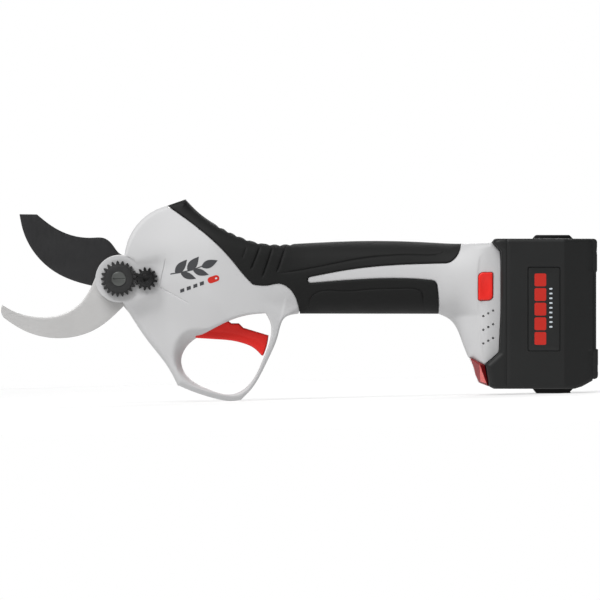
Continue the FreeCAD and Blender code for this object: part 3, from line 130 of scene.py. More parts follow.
BATTERY_HALF = 30.5
BATTERY_REAR_HALF = 24.0
CHAMFER_X = 144.5
COVER_X = (160.2, 163.2)
PACK_TOP = 89.1
PACK_BOTTOM = 6.9
BAND_X = 113.2               # the fine line round the front of the battery
LABEL = ((124.6, 142.2), (27.6, 73.5))
LABEL_FLOOR = BATTERY_HALF - 1.2
COVER_STEPS = (28.6, 71.3)   # where the rear cover steps in
RIM_HALF = 16.0
RIM_Z = (36.0, 80.0)
RIM_X = (106.9, 114.2)
RELEASE_X = (127.9, 149.9)
RELEASE_HALF = 12.0
CASE_SCREWS = [(y, z) for z in (18.0, 82.5) for y in (-21.0, 21.0)]


# --- outlines ---
def ease(t):
    """A soft step from 0 to 1 as t goes from 0 to 1."""
    t = np.clip(t, 0, 1)
    return t * t * (3 - 2 * t)


def straight(*points):
    """Straight runs through the points, divided into short steps."""
    parts = []
    for a, b in zip(points, points[1:]):
        a, b = np.array(a, float), np.array(b, float)
        n = max(1, math.ceil(np.linalg.norm(b - a) / EDGE_STEP))
        parts.append(a + (b - a) * np.linspace(0, 1, n + 1)[:, None])
    return np.concatenate(parts)


def smooth(*points):
    """A natural cubic spline through the points."""
    p = np.array(points, float)
    t = np.concatenate([[0], np.cumsum(np.linalg.norm(np.diff(p, axis=0), axis=1))])
    h = np.diff(t)
    a = np.eye(len(p))
    b = np.zeros_like(p)
    for i in range(1, len(p) - 1):
        a[i, i - 1:i + 2] = h[i - 1], 2 * (h[i - 1] + h[i]), h[i]
        b[i] = 6 * ((p[i + 1] - p[i]) / h[i] - (p[i] - p[i - 1]) / h[i - 1])
    m = np.linalg.solve(a, b)
    runs = []
    for i in range(len(p) - 1):
        n = max(1, math.ceil(h[i] / EDGE_STEP))
        u = np.linspace(0, h[i], n + 1)[:, None]
        w = h[i] - u
        runs.append((m[i] * w**3 + m[i + 1] * u**3) / (6 * h[i])
                    + (p[i] / h[i] - m[i] * h[i] / 6) * w + (p[i + 1] / h[i] - m[i + 1] * h[i] / 6) * u)
    return np.concatenate(runs)


def arc(a, b, c):
    """Points on the arc from a through b to c."""
    (ax, az), (bx, bz), (cx, cz) = a, b, c
    d = 2 * (ax * (bz - cz) + bx * (cz - az) + cx * (az - bz))
    ux = ((ax**2 + az**2) * (bz - cz) + (bx**2 + bz**2) * (cz - az) + (cx**2 + cz**2) * (az - bz)) / d
    uz = ((ax**2 + az**2) * (cx - bx) + (bx**2 + bz**2) * (ax - cx) + (cx**2 + cz**2) * (bx - ax)) / d
    first, middle, last = (math.atan2(z - uz, x - ux) for x, z in (a, b, c))
    turn = (last - first) % (2 * math.pi)
    if (middle - first) % (2 * math.pi) > turn:
        turn -= 2 * math.pi
    r = math.hypot(ax - ux, az - uz)
    angles = first + turn * np.linspace(0, 1, max(2, math.ceil(abs(turn) * r / EDGE_STEP)) + 1)
    return np.stack([ux + r * np.cos(angles), uz + r * np.sin(angles)], 1)


def ring(x, z, r, n=None):
    """A circle as a closed outline."""
    n = n or max(12, math.ceil(2 * math.pi * r / EDGE_STEP))
    angles = np.arange(n) * 2 * math.pi / n
    return np.stack([x + r * np.cos(angles), z + r * np.sin(angles)], 1)


def pad(x, z, corner, corners=None):
    """A rectangle with rounded corners. corners gives one radius each, from the lower left."""
    parts = []
    places = ((1, 1, 180), (-1, 1, 270), (-1, -1, 0), (1, -1, 90))
    for (sx, sz, start), r in zip(places, corners or [corner] * 4):
        angles = np.radians(start + np.linspace(0, 90, 7))
        parts.append(straight(*np.stack([x[sx < 0] + sx * r + r * np.cos(angles),
                                         z[sz < 0] + sz * r + r * np.sin(angles)], 1)))
    return closed(*parts)


def oblong(x, z):
    """A rectangle with square corners."""
    return closed(straight((x[0], z[0]), (x[1], z[0]), (x[1], z[1]), (x[0], z[1]), (x[0], z[0])))


def closed(*runs):
    """Runs end to end as one closed outline, anticlockwise, without points on top of each other."""
    points = np.concatenate(runs)
    keep = [0]
    for i in range(1, len(points)):
        if np.linalg.norm(points[i] - points[keep[-1]]) > 0.05:
            keep.append(i)
    points = points[keep]
    if np.linalg.norm(points[0] - points[-1]) < 0.05:
        points = points[:-1]
    gaps = np.linalg.norm(np.roll(points, -1, 0) - points, axis=1)
    filled = [straight(points[i], points[(i + 1) % len(points)])[:-1] if gaps[i] > 1.5 * EDGE_STEP
              else points[i:i + 1] for i in range(len(points))]
    points = np.concatenate(filled)
    return points if area(points) > 0 else points[::-1]


def area(points):
    after = np.roll(points, -1, 0)
    return 0.5 * np.sum(points[:, 0] * after[:, 1] - after[:, 0] * points[:, 1])


def left_normals(points, is_closed):
    """The direction to the left of an outline at each point."""
    if is_closed:
        along = np.roll(points, -1, 0) - np.roll(points, 1, 0)
    else:
        along = np.gradient(points, axis=0)
    along /= np.maximum(np.linalg.norm(along, axis=1), 1e-9)[:, None]
    return np.stack([-along[:, 1], along[:, 0]], 1)


def beside(points, offsets, is_closed=True):
    """Copies of an outline moved to its left by each offset."""
    normals = left_normals(points, is_closed)
    return np.concatenate([points + normals * np.reshape(o, (-1, 1)) for o in offsets])


# --- distances ---
FAR = 1e3


def near(points, line, is_closed=False, values=None, reach=FAR):
    """How far each point is from a line, and the line's value at its nearest place."""
    a = line if is_closed else line[:-1]
    b = np.roll(line, -1, 0) if is_closed else line[1:]
    values = np.linspace(0, 1, len(line)) if values is None else values
    va = values if is_closed else values[:-1]
    vb = np.roll(values, -1) if is_closed else values[1:]
    distance = np.full(len(points), FAR)
    value = np.zeros(len(points))
    close = np.all((points > line.min(0) - reach) & (points < line.max(0) + reach), axis=1)
    wanted = np.nonzero(close)[0]
    ab = b - a
    length = np.maximum((ab**2).sum(1), 1e-12)
    for start in range(0, len(wanted), BATCH):
        rows = wanted[start:start + BATCH]
        ap = points[rows, None] - a
        t = np.clip((ap * ab).sum(2) / length, 0, 1)
        gap = np.linalg.norm(ap - t[..., None] * ab, axis=2)
        best = gap.argmin(1)
        here = np.arange(len(rows))
        distance[rows] = gap[here, best]
        value[rows] = va[best] + (vb[best] - va[best]) * t[here, best]
    return distance, value


def inside(points, outline):
    """Which points are inside a closed outline."""
    after = np.roll(outline, -1, 0)
    result = np.zeros(len(points), bool)
    x, z = points[:, 0], points[:, 1]
    for (ax, az), (bx, bz) in zip(outline, after):
        if az != bz:
            crosses = (az > z) != (bz > z)
            result ^= crosses & (x < (bx - ax) * (z - az) / (bz - az) + ax)
    return result


def depth_in(points, outline, reach=6.0):
    """Distance from a closed outline, positive inside it."""
    distance, _ = near(points, outline, True, reach=reach)
    return np.where(inside(points, outline), distance, -distance)


def gap_to(points, *outlines):
    """How far each point is from the nearest of some closed outlines."""
    return np.minimum.reduce([near(points, outline, True)[0] for outline in outlines])


def fall(distance, radius):
    """How far a rounded edge has fallen at a distance in from it."""
    r = np.maximum(radius, 1e-6)
    return r * (1 - np.sqrt(1 - (1 - np.clip(distance / r, 0, 1))**2))


def rounding(radius, turns):
    """How far in from a rounded edge its surface has turned by each of some angles."""
    return [radius * (1 - math.cos(math.radians(turn))) for turn in turns]


# --- moulding ---
def triangles_over(outline, holes, places, step):
    """Points and triangles that fill an outline round its holes, with points at the places given."""
    loops = [outline] + list(holes)
    fixed = np.concatenate(loops)
    edges = []
    start = 0
    for points in loops:
        edges += [(start + i, start + (i + 1) % len(points)) for i in range(len(points))]
        start += len(points)

    def filled(points, gap):
        ok = inside(points, outline)
        for hole in holes:
            ok &= ~inside(points, hole)
        points = points[ok]
        return points[gap_to(points, *loops) > gap]

    chosen = [tuple(p) for p in fixed]
    taken = {(round(x / APART), round(z / APART)) for x, z in chosen}
    for x, z in filled(np.concatenate(places), APART) if len(places) else []:
        cell = (round(x / APART), round(z / APART))
        if cell not in taken:
            taken.add(cell)
            chosen.append((x, z))
    tree = KDTree(len(chosen))
    for i, (x, z) in enumerate(chosen):
        tree.insert((x, z, 0), i)
    tree.balance()
    low, high = outline.min(0), outline.max(0)
    rows = []
    for j, z in enumerate(np.arange(low[1], high[1], step * 0.87)):
        xs = np.arange(low[0] + (j % 2) * step / 2, high[0], step)
        rows.append(np.stack([xs, np.full(len(xs), z)], 1))
    for x, z in filled(np.concatenate(rows), step * 0.4):
        if tree.find((x, z, 0))[2] > step * 0.55:
            chosen.append((x, z))
    verts, _, faces, *_ = delaunay_2d_cdt([Vector(p) for p in chosen], edges, [], 0, 1e-5)
    points = np.array([tuple(v) for v in verts])
    faces = np.array([f for f in faces if len(f) == 3])
    centres = points[faces].mean(1)
    keep = inside(centres, outline)
    for hole in holes:
        keep &= ~inside(centres, hole)
    faces = faces[keep]
    a, b, c = (points[faces[:, i]] for i in range(3))
    turned = (b[:, 0] - a[:, 0]) * (c[:, 1] - a[:, 1]) - (c[:, 0] - a[:, 0]) * (b[:, 1] - a[:, 1]) < 0
    faces[turned] = faces[turned][:, ::-1]
    used = np.unique(faces)
    renumbered = np.full(len(points), -1)
    renumbered[used] = np.arange(len(used))
    return points[used], renumbered[faces]


def boundary_edges(faces):
    """Edges with a triangle on one side only, in that triangle's direction."""
    directed = {(a, b) for f in faces.tolist() for a, b in ((f[0], f[1]), (f[1], f[2]), (f[2], f[0]))}
    return np.array(sorted(e for e in directed if (e[1], e[0]) not in directed))


def on_left(u, v, h):
    return np.stack([u, -h, v], 1)


def on_right(u, v, h):
    return np.stack([u, h, v], 1)


def at_rear(u, v, h):
    return np.stack([h, u, v], 1)


def flat(height):
    """A face at one height."""
    return lambda points: np.full(len(points), height)


def moulded(outline, holes, places, front, back, put=on_left, step=STEP, seam=0.0):
    """A closed shell between two faces over an outline. front and back give heights. With a seam, the inner
    edge is drawn in by that much, which shows as a fine line where two halves meet."""
    points, faces = triangles_over(outline, holes, places, step)
    n = len(points)
    edges = boundary_edges(faces)
    inward = np.zeros((n, 2))
    along = points[edges[:, 1]] - points[edges[:, 0]]
    along /= np.maximum(np.linalg.norm(along, axis=1), 1e-9)[:, None]
    left = np.stack([-along[:, 1], along[:, 0]], 1)
    for end in (0, 1):
        np.add.at(inward, edges[:, end], left)
    inward /= np.maximum(np.linalg.norm(inward, axis=1), 1e-9)[:, None]
    high = front(points)
    low = np.minimum(back(points), high - THINNEST)
    drawn = points + inward * seam
    verts = [put(points[:, 0], points[:, 1], high), put(drawn[:, 0], drawn[:, 1], low)]
    quads = []
    a, b = edges[:, 0], edges[:, 1]
    if seam:
        middle = np.minimum(low + seam * 1.5, high - 0.1)
        verts.append(put(points[:, 0], points[:, 1], middle))
        quads.append(np.stack([a, a + 2 * n, b + 2 * n, b], 1))
        quads.append(np.stack([a + 2 * n, a + n, b + n, b + 2 * n], 1))
    else:
        quads.append(np.stack([a, a + n, b + n, b], 1))
    polygons = faces.tolist() + (faces[:, ::-1] + n).tolist() + np.concatenate(quads).tolist()
    if put is on_right:
        polygons = [p[::-1] for p in polygons]
    return np.concatenate(verts), polygons


def balanced(outline, holes, places, front, back=None, step=STEP):
    """A closed solid that is the same on both sides. back is the height of a hollow in it."""
    points, faces = triangles_over(outline, holes, places, step)
    n = len(points)
    edges = boundary_edges(faces)
    high = front(points)
    low = np.zeros(n) if back is None else np.clip(back(points), 0, high - THINNEST)
    other = np.where(low > 0, 3 * n, 2 * n) + np.arange(n)
    verts = [on_left(points[:, 0], points[:, 1], h) for h in (high, -high, low, -low)]
    a, b = edges[:, 0], edges[:, 1]
    walls = [np.stack([a, a + 2 * n, b + 2 * n, b], 1), np.stack([a + n, b + n, other[b], other[a]], 1)]
    hollow = faces[(low[faces] > 0).any(1)]
    polygons = faces.tolist() + (faces[:, ::-1] + n).tolist() + np.concatenate(walls).tolist()
    polygons += (hollow[:, ::-1] + 2 * n).tolist() + other[hollow].tolist()
    return np.concatenate(verts), polygons


def mesh_object(name, verts, polygons, sharp=SHARP):
    mesh = bpy.data.meshes.new(name)
    mesh.from_pydata((np.asarray(verts) * MM).tolist(), [], polygons)
    bm = bmesh.new()
    bm.from_mesh(mesh)
    loose = [v for v in bm.verts if not v.link_faces]
    bmesh.ops.delete(bm, geom=loose, context="VERTS")
    bm.to_mesh(mesh)
    bm.free()
    return linked(name, mesh, sharp)


def linked(name, mesh, sharp=SHARP):
    """An object in the scene that shows a mesh, smooth except at its sharp edges."""
    mesh.shade_smooth()
    mesh.set_sharp_from_angle(angle=sharp)
    obj = bpy.data.objects.new(name, mesh)
    bpy.context.scene.collection.objects.link(obj)
    return obj


def add_piece(obj, body, slot, *replaced, look=None):
    """Gives an object its finish and its body, and hides the CAD nodes it stands for."""
    obj.data.materials.clear()
    obj.data.materials.append(MATERIALS[look or slot])
    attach(obj, body)
    if replaced:
        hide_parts(*replaced)
    return obj


def finished(node, body, slot, width, look=None):
    """A CAD part with its edges broken by a small bevel."""
    mesh = frame["nodes"][node].data.copy()
    mesh.name = node + "_finished"
    bm = bmesh.new()
    bm.from_mesh(mesh)
    bmesh.ops.remove_doubles(bm, verts=bm.verts, dist=2e-6)
    bmesh.ops.dissolve_limit(bm, angle_limit=math.radians(1), verts=bm.verts, edges=bm.edges)
    crisp = [e for e in bm.edges if len(e.link_faces) == 2 and e.calc_face_angle() > math.radians(32)]
    bmesh.ops.bevel(bm, geom=crisp, offset=width * MM, segments=2, profile=0.6, affect="EDGES",
                    clamp_overlap=True)
    bm.to_mesh(mesh)
    bm.free()
    return add_piece(linked(node + "_finished", mesh), body, slot, node, look=look)


# --- materials ---
MATERIALS = {}


def set_inputs(node, **values):
    """Sets a node's inputs by name, with _ for each space."""
    for name, value in values.items():
        node.inputs[name.replace("_", " ")].default_value = value


def new_material(name, base, metallic, roughness, **settings):
    material = bpy.data.materials.new(name)
    material.use_nodes = True
    shader = material.node_tree.nodes["Principled BSDF"]
    set_inputs(shader, Base_Color=(*base, 1), Metallic=metallic, Roughness=roughness, **settings)
    MATERIALS[name] = material
    return material.node_tree, shader


def texture(tree, kind, scale, stretch=(1, 1, 1), **settings):
    """A procedural texture in the object's own coordinates, in features per metre."""
    place = tree.nodes.new("ShaderNodeTexCoord")
    mapping = tree.nodes.new("ShaderNodeMapping")
    node = tree.nodes.new(kind)
    set_inputs(mapping, Scale=stretch)
    set_inputs(node, Scale=scale, **settings)
    tree.links.new(place.outputs["Object"], mapping.inputs["Vector"])
    tree.links.new(mapping.outputs["Vector"], node.inputs["Vector"])
    return node


def noise(tree, scale, detail, roughness=0.5, stretch=(1, 1, 1)):
    node = texture(tree, "ShaderNodeTexNoise", scale, stretch, Detail=detail, Roughness=roughness)
    return node.outputs["Fac"]


def tone(tree, shader, source, low, high):
    """Colours the surface from low to high as the source goes from 0.3 to 0.7."""
    node = tree.nodes.new("ShaderNodeValToRGB")
    for element, position, colour in zip(node.color_ramp.elements, (0.3, 0.7), (low, high)):
        element.position = position
        element.color = (*colour, 1)
    tree.links.new(source, node.inputs["Fac"])
    tree.links.new(node.outputs["Color"], shader.inputs["Base Color"])


def gloss(tree, shader, source, low, high):
    """Makes the roughness go from low to high as the source goes from 0.3 to 0.7."""
    node = tree.nodes.new("ShaderNodeMapRange")
    set_inputs(node, From_Min=0.3, From_Max=0.7, To_Min=low, To_Max=high)
    tree.links.new(source, node.inputs["Value"])
    tree.links.new(node.outputs["Result"], shader.inputs["Roughness"])


def bump(tree, shader, source, strength, distance, before=None):
    node = tree.nodes.new("ShaderNodeBump")
    set_inputs(node, Strength=strength, Distance=distance * MM)
    tree.links.new(source, node.inputs["Height"])
    if before:
        tree.links.new(before, node.inputs["Normal"])
    tree.links.new(node.outputs["Normal"], shader.inputs["Normal"])
    return node.outputs["Normal"]


def shade(colour, factor):
    return tuple(min(1.0, c * factor) for c in colour)


def plastic(name, base, roughness, grain=1400, depth=0.02, vary=0.04, coat=0.0, soft=0.03, level=0.5,
            **settings):
    """Moulded plastic: a fine eroded texture, with slow changes of tone and gloss."""
    tree, shader = new_material(name, base, 0.0, roughness, Specular_IOR_Level=level, Coat_Weight=coat,
                                Coat_Roughness=0.12, **settings)
    slow = noise(tree, 28, 3.0, 0.6)
    tone(tree, shader, slow, shade(base, 1 - vary), shade(base, 1 + vary))
    gloss(tree, shader, slow, roughness - soft, roughness + soft)
    bump(tree, shader, noise(tree, grain, 2.0), 0.35, depth)


def rubber(name, base, roughness, cell=1500, depth=0.05):
    """Soft over-mould: small pebbled cells that catch a little light."""
    tree, shader = new_material(name, base, 0.0, roughness, Specular_IOR_Level=0.2)
    slow = noise(tree, 45, 4.0, 0.6)
    cells = texture(tree, "ShaderNodeTexVoronoi", cell)
    tone(tree, shader, slow, shade(base, 0.82), shade(base, 1.2))
    gloss(tree, shader, slow, roughness - 0.05, roughness + 0.08)
    first = bump(tree, shader, cells.outputs["Distance"], 0.4, depth)
    bump(tree, shader, noise(tree, 2600, 2.0), 0.25, 0.02, first)


def metal(name, base, roughness, stretch=(1, 1, 1), scale=600, depth=0.01, vary=0.12, metallic=1.0):
    """Metal with tool marks: noise drawn out along one axis, and slow staining."""
    tree, shader = new_material(name, base, metallic, roughness)
    marks = noise(tree, scale, 3.0, 0.6, stretch)
    tone(tree, shader, noise(tree, 60, 4.0, 0.6), shade(base, 1 - vary), shade(base, 1 + vary))
    gloss(tree, shader, marks, max(0.08, roughness - 0.08), roughness + 0.1)
    bump(tree, shader, marks, 0.3, depth)


def banded(name, dark, light, scale, metallic, roughness):
    """Fine bands along the tool, as on stacked sheets or a winding."""
    tree, shader = new_material(name, light, metallic, roughness)
    bands = texture(tree, "ShaderNodeTexWave", scale, Distortion=0.4, Detail=1.0)
    tone(tree, shader, bands.outputs["Fac"], dark, light)
    bump(tree, shader, bands.outputs["Fac"], 0.5, 0.03)


def tinted(name, base, roughness, coat=1.0):
    """A deep translucent red plastic that still reads as solid."""
    plastic(name, base, roughness, 500, 0.004, 0.15, coat, 0.02, Subsurface_Weight=0.25,
            Subsurface_Radius=(0.004, 0.0006, 0.0006), Subsurface_Scale=1.0)


# One for each material slot.
plastic("shell_white", (0.50, 0.50, 0.505), 0.52, 2200, 0.008, 0.01, level=0.28)
plastic("board_green", (0.012, 0.075, 0.035), 0.35, 700, 0.02, 0.2, coat=0.4)
plastic("signal_red", (0.76, 0.022, 0.016), 0.4, 1500, 0.006, 0.03, coat=0.05, level=0.25)
plastic("battery_black", (0.0130, 0.0135, 0.0135), 0.52, 1600, 0.03, 0.06, level=0.25)
plastic("latch_black", (0.007, 0.007, 0.007), 0.5, 1500, 0.02, 0.08, level=0.15)
plastic("label_dark", (0.0115, 0.012, 0.012), 0.4, 300, 0.003, 0.05, level=0.35)
plastic("cell_blue", (0.01, 0.06, 0.16), 0.25, 500, 0.01, 0.06, coat=0.5)
plastic("holder_grey", (0.05, 0.05, 0.053), 0.5, 1200, 0.03)
rubber("grip_black", (0.0080, 0.0083, 0.0081), 0.66)
rubber("wire_black", (0.02, 0.02, 0.02), 0.5, 900, 0.02)
metal("blade_dark", (0.017, 0.017, 0.018), 0.45, (1, 1, 0.15), 900, 0.006, metallic=0.3)
metal("hook_steel", (0.50, 0.495, 0.49), 0.45, (0.12, 1, 1), 1500, 0.004, 0.03, 0.35)
metal("gear_black", (0.008, 0.008, 0.0085), 0.34, scale=1200, metallic=0.3)
metal("bolt_steel", (0.11, 0.115, 0.11), 0.42, scale=1500, metallic=0.7)
metal("steel", (0.45, 0.45, 0.47), 0.32, (1, 0.2, 1), 1400)
metal("bronze", (0.50, 0.31, 0.12), 0.38, scale=2500)
metal("motor_silver", (0.55, 0.55, 0.57), 0.3, (0.1, 1, 1), 900, 0.006)
metal("nickel", (0.62, 0.60, 0.56), 0.28, (0.2, 1, 1), 1200)
metal("magnet", (0.60, 0.60, 0.62), 0.2, scale=700, depth=0.004, vary=0.04)
banded("copper", (0.32, 0.10, 0.04), (0.60, 0.26, 0.12), 900, 0.9, 0.35)
banded("lamination", (0.08, 0.08, 0.085), (0.22, 0.22, 0.23), 1000, 0.8, 0.45)
tinted("lens_red", (0.20, 0.006, 0.008), 0.12)
# And some for details that have no slot of their own.
plastic("mark_dark", (0.045, 0.046, 0.050), 0.45, 900, 0.004, 0.08, level=0.3)
plastic("mark_red", (0.50, 0.020, 0.012), 0.4, 900, 0.004, 0.03, level=0.3)
plastic("mark_light", (0.55, 0.60, 0.64), 0.4, 900, 0.004, 0.03)
# A lighter, rougher grey for the big gear, which is black: it stands in for the sheen on its face, a painted
# highlight.
metal("gear_painted_sheen", (0.021, 0.021, 0.0215), 0.5, scale=1500, metallic=0.3)
# A pale pink for the middle facet of the lamp lens: a painted highlight on the red lens.
tinted("lens_painted_highlight", (0.72, 0.16, 0.15), 0.25, 0.5)


# --- the housing's surface ---
def width_at(x):
    """The half width along the housing: a smooth curve through WIDTHS."""
    xs, ws = (np.array(column, float) for column in zip(*WIDTHS))
    slope = np.concatenate([[(ws[1] - ws[0]) / (xs[1] - xs[0])], (ws[2:] - ws[:-2]) / (xs[2:] - xs[:-2]),
                            [(ws[-1] - ws[-2]) / (xs[-1] - xs[-2])]])
    i = np.clip(np.searchsorted(xs, x) - 1, 0, len(xs) - 2)
    span = xs[i + 1] - xs[i]
    t = (x - xs[i]) / span
    return ((2 * t**3 - 3 * t**2 + 1) * ws[i] + (t**3 - 2 * t**2 + t) * slope[i] * span
            + (3 * t**2 - 2 * t**3) * ws[i + 1] + (t**3 - t**2) * slope[i + 1] * span)


def side_at(points, left):
    """How far the housing's surface stands from the middle plane, on the left or the right side."""
    # Each part is an ellipse across, with its middle at its own height. handle is 0 on the head and the
    # guard and 1 behind them, and rear is 1 on the rear body.
    x, z = points[:, 0], points[:, 1]
    handle = ease((x + 25 - 18 * ease((56 - z) / 12)) / 30)
    rear = ease((x - 84) / 20)
    tube = 0.75 * np.minimum(1, ((z - 67) / 20) ** 2)
    box = 0.25 * ((z - 52) / 38) ** 2
    head = 0.7 * ((z - 72) / 75) ** 2
    drop = head + handle * (tube * (1 - rear) + box * rear - head)
    height = width_at(x) * np.sqrt(1 - np.minimum(drop, 0.86))
    if not left:
        return height
    spare = height - crown(x, z) * (1 - handle) - LEAST_HALF
    return LEAST_HALF + (spare + np.sqrt(spare**2 + 1)) / 2


def slope_sum(t):
    """The integral of a soft step from 0 to 1."""
    t = np.maximum(t, 0)
    return np.where(t < 1, t**3 - t**4 / 2, t - 0.5)


def crown(x, z):
    """How far the head falls away from its crown, to the front and below, and above."""
    u = -0.57 * (x + 56) - 0.82 * (z - 60.5)
    below = 10 * slope_sum((u + 5) / 10) - 18 * slope_sum((u - 14) / 18)
    clear = ease((np.hypot(x - PIVOT_X, z - AXIS_Z) - 13) / 16)
    above = 16 * slope_sum((z - 76) / 16)
    return 0.28 * below * clear + 0.2 * above


def body_runs():
    """The housing's outline, run by run, each with its edge radius and whether a grip covers it."""
    disc = arc((-97.4, 54.36), (PIVOT_X - BOSS_R, AXIS_Z), (-96.6, 79.7))
    top = smooth(*HANDLE_TOP)
    gripped = top[:, 0] < GRIP_END_X
    return [(disc, 0.9, False),
            (straight((-96.6, 79.7), (-96.1, 81.4)), 1.5, False),
            (arc((-96.1, 81.4), (-88.8, 97.7), (-73.1, 107.2)), 2.4, False),
            (straight((-72.9, 107.3), HEAD_CORNER), 2.4, True),
            (smooth(*SPINE), 7.0, True),
            (top[gripped], 8.0, True),
            (top[~gripped], 3.0, False),
            (straight((105.1, 86.9), (DOCK_X, 82.0)), 1.5, False),
            (straight((DOCK_X, 82.0), (DOCK_X, 49.0), (108.8, 27.0), (101.2, 20.1)), 0.3, False),
            (straight((101.2, 20.1), (92.6, 24.2)), 1.5, False),
            (smooth(*REAR_UNDER), 5.0, False),
            (straight((76.1, 47.9), HANDLE_FRONT), 8.0, True),
            (smooth(*GUARD_OUTER), 1.3, False),
            (smooth(*GUARD_FLOOR), 4.6, False),
            (smooth(*GUARD_FRONT), 4.0, False),
            (straight((-96.5, 52.8), (-97.4, 54.36)), 1.2, False)]


def body_loop():
    """The housing's outline, anticlockwise, with the edge radius and the grip's cover at each point."""
    points, radii, covered = [], [], []
    for run, radius, cover in body_runs():
        for p in run:
            if not points or np.linalg.norm(p - points[-1]) > 0.05:
                points.append(p)
                radii.append(radius)
                covered.append(cover)
    points, radii, covered = np.array(points)[::-1], np.array(radii)[::-1], np.array(covered)[::-1]
    wide = np.concatenate([radii[-5:], radii, radii[:5]])
    radii = np.convolve(wide, np.ones(11) / 11, "valid")
    return points, radii, covered


# The finger hole's edge is rounded more at the front, where a wide flat chamfer runs down the guard too.
BODY, BODY_RADII, COVERED = body_loop()
HOLE = closed(smooth(*GUARD_HOLE))[::-1]
HOLE_WIDTH = 1.0 + 0.7 * ease((-20 - HOLE[:, 0]) / 12) + 2.1 * ease((-46 - HOLE[:, 0]) / 12)
CHAMFER = 0.9 + ease((-47 - HOLE[:, 0]) / 16) * np.clip(2.4 + 0.3 * (HOLE[:, 1] - 20), 0, 6.4)


def grip_runs():
    """The edges of the grip on the housing: at the front, and round the white stripe at the rear."""
    front = np.concatenate([smooth(*GRIP_FRONT), smooth(*GRIP_WEB)])
    rear = np.concatenate([smooth((76.1, 47.9), (76.1, 50.5), (75.8, 58.7), (75.3, 62.6)),
                           arc((75.3, 62.6), (74.5, 65.2), (72.3, 66.3)),
                           smooth(*STRIPE_UNDER), arc((5.7, 64.7), (4.2, 66.3), (5.2, 68.2)),
                           smooth(*STRIPE_OVER), smooth((78.1, 75.7), *GRIP_REAR)])
    return front, rear


def rippled(points):
    """The top of the grip with shallow dips where the thumb ribs run over it."""
    dips = sum(np.exp(-((points[:, 0] - x) / 1.1) ** 2) for x in RIPPLES_X)
    return points - np.stack([np.zeros(len(points)), 0.75 * dips], 1)


GRIP_EDGES = grip_runs()
TOP_RUN = np.concatenate([run for run, _, cover in body_runs()[3:6]])
GRIP = closed(GRIP_EDGES[0], straight(HANDLE_FRONT, (76.1, 47.9)), GRIP_EDGES[1], rippled(TOP_RUN)[::-1])


def base_height(points, left=True):
    """The housing's rounded surface with its creases, before any detail."""
    outer, radius = near(points, BODY, True, BODY_RADII)
    hole, width = near(points, HOLE, True, HOLE_WIDTH, reach=10)
    _, chamfer = near(points, HOLE, True, CHAMFER, reach=10)
    side = 1 - hole / np.maximum(chamfer, 0.1)
    drop = (fall(outer, radius) ** 4 + fall(hole, width) ** 4) ** 0.25
    drop += 0.9 * chamfer * (side + np.sqrt(side**2 + 0.006)) / 2 * ease((chamfer - 0.9) / 1.2)
    height = side_at(points, left)
    height = (run_down(points, height) if left else height) - drop
    crease = np.concatenate([straight(*run) for run in HEAD_CREASE])
    height -= shoulder(points, crease, 0.3, 6.0, 0.25) + groove(points, crease, 0.3, 0.24, 0.06)
    height += shoulder(points, smooth(*WEB_CREASE), 0.22, 3.0)
    return height - shoulder(points, smooth(*FACET_EDGE), 0.25, 4.0)


def run_down(points, height):
    """The head runs gently to the level of the flat under the adjuster gears."""
    gap = np.maximum(-depth_in(points, KEYHOLE, 26.0), 0)
    room = 0.3 + 0.12 * gap + gap**2 / 16
    level = LAND_H + room * np.tanh((height - LAND_H) / room)
    return height + (level - height) * ease((points[:, 0] - PIVOT_X - 5) / 8)


def shoulder(points, line, height, width, slope=0.9):
    """A soft step along a line, highest close to its left side, which fades at its ends and further away."""
    distance, along = near(points, line, reach=3 * width)
    normals = left_normals(line, False)
    closest = np.argmin(((points[:, None] - line) ** 2).sum(2), 1)
    side = ((points - line[closest]) * normals[closest]).sum(1)
    ends = ease(np.minimum(along, 1 - along) / 0.15)
    step = ease(0.5 + side / slope)
    return height * step * ends * np.exp(-(distance / width) ** 2)


def groove(points, line, depth, width, taper=0.12):
    """A round-bottomed groove along a line, which runs out at both ends."""
    distance, along = near(points, line, reach=4 * width)
    return depth * np.exp(-(distance / width) ** 2) * ease(np.minimum(along, 1 - along) / taper + 0.15)


def edge_places():
    """Points in rings along the rounded edges of the housing."""
    rings = []
    for turn in np.radians((14, 30, 46, 62, 76, 90)):
        inset = 1 - math.cos(turn)
        for outline, radius in ((BODY, BODY_RADII), (HOLE, HOLE_WIDTH)):
            offset = radius * inset
            ring_points = beside(outline, [offset])
            rings.append(ring_points[gap_to(ring_points, BODY, HOLE) > 0.9 * offset])
    return rings


EDGE_PLACES = edge_places()


def line_places(line, offsets):
    """Points at each offset on both sides of a line."""
    return beside(line, [s * o for o in offsets for s in ((1, -1) if o else (1,))], False)


class Pocket:
    """A sunk or raised patch with steep sides, inside an outline."""

    def __init__(self, outline, height, slope=0.3):
        self.outline = outline
        self.height = height
        self.slope = slope

    def places(self):
        half = (0.8 if callable(self.slope) else self.slope) / 2
        return beside(self.outline, [-half, -half / 2, 0, half / 2, half, half + 0.5])

    def cut(self, points, heights):
        depth = depth_in(points, self.outline)
        slope = self.slope(points) if callable(self.slope) else self.slope
        part = ease(0.5 + depth / slope)
        level = self.height(points) if callable(self.height) else self.height
        return heights + (level - heights) * part


def keyhole():
    """The flat that the adjuster gears stand on: a disc with a strip to the rear."""
    r = BOSS_R + 0.2
    half = 8.5
    back = PIVOT_X + math.sqrt(r**2 - half**2)
    corner = 2.5
    end = -77.0
    upper = AXIS_Z + half
    lower = AXIS_Z - half
    return closed(straight((back, lower), (end - corner, lower)),
                  arc((end - corner, lower), (end - 0.73, lower + 0.73), (end, lower + corner)),
                  straight((end, lower + corner), (end, upper - corner)),
                  arc((end, upper - corner), (end - 0.73, upper - 0.73), (end - corner, upper)),
                  straight((end - corner, upper), (back, upper)),
                  arc((back, upper), (PIVOT_X - r, AXIS_Z), (back, lower)))


KEYHOLE = keyhole()


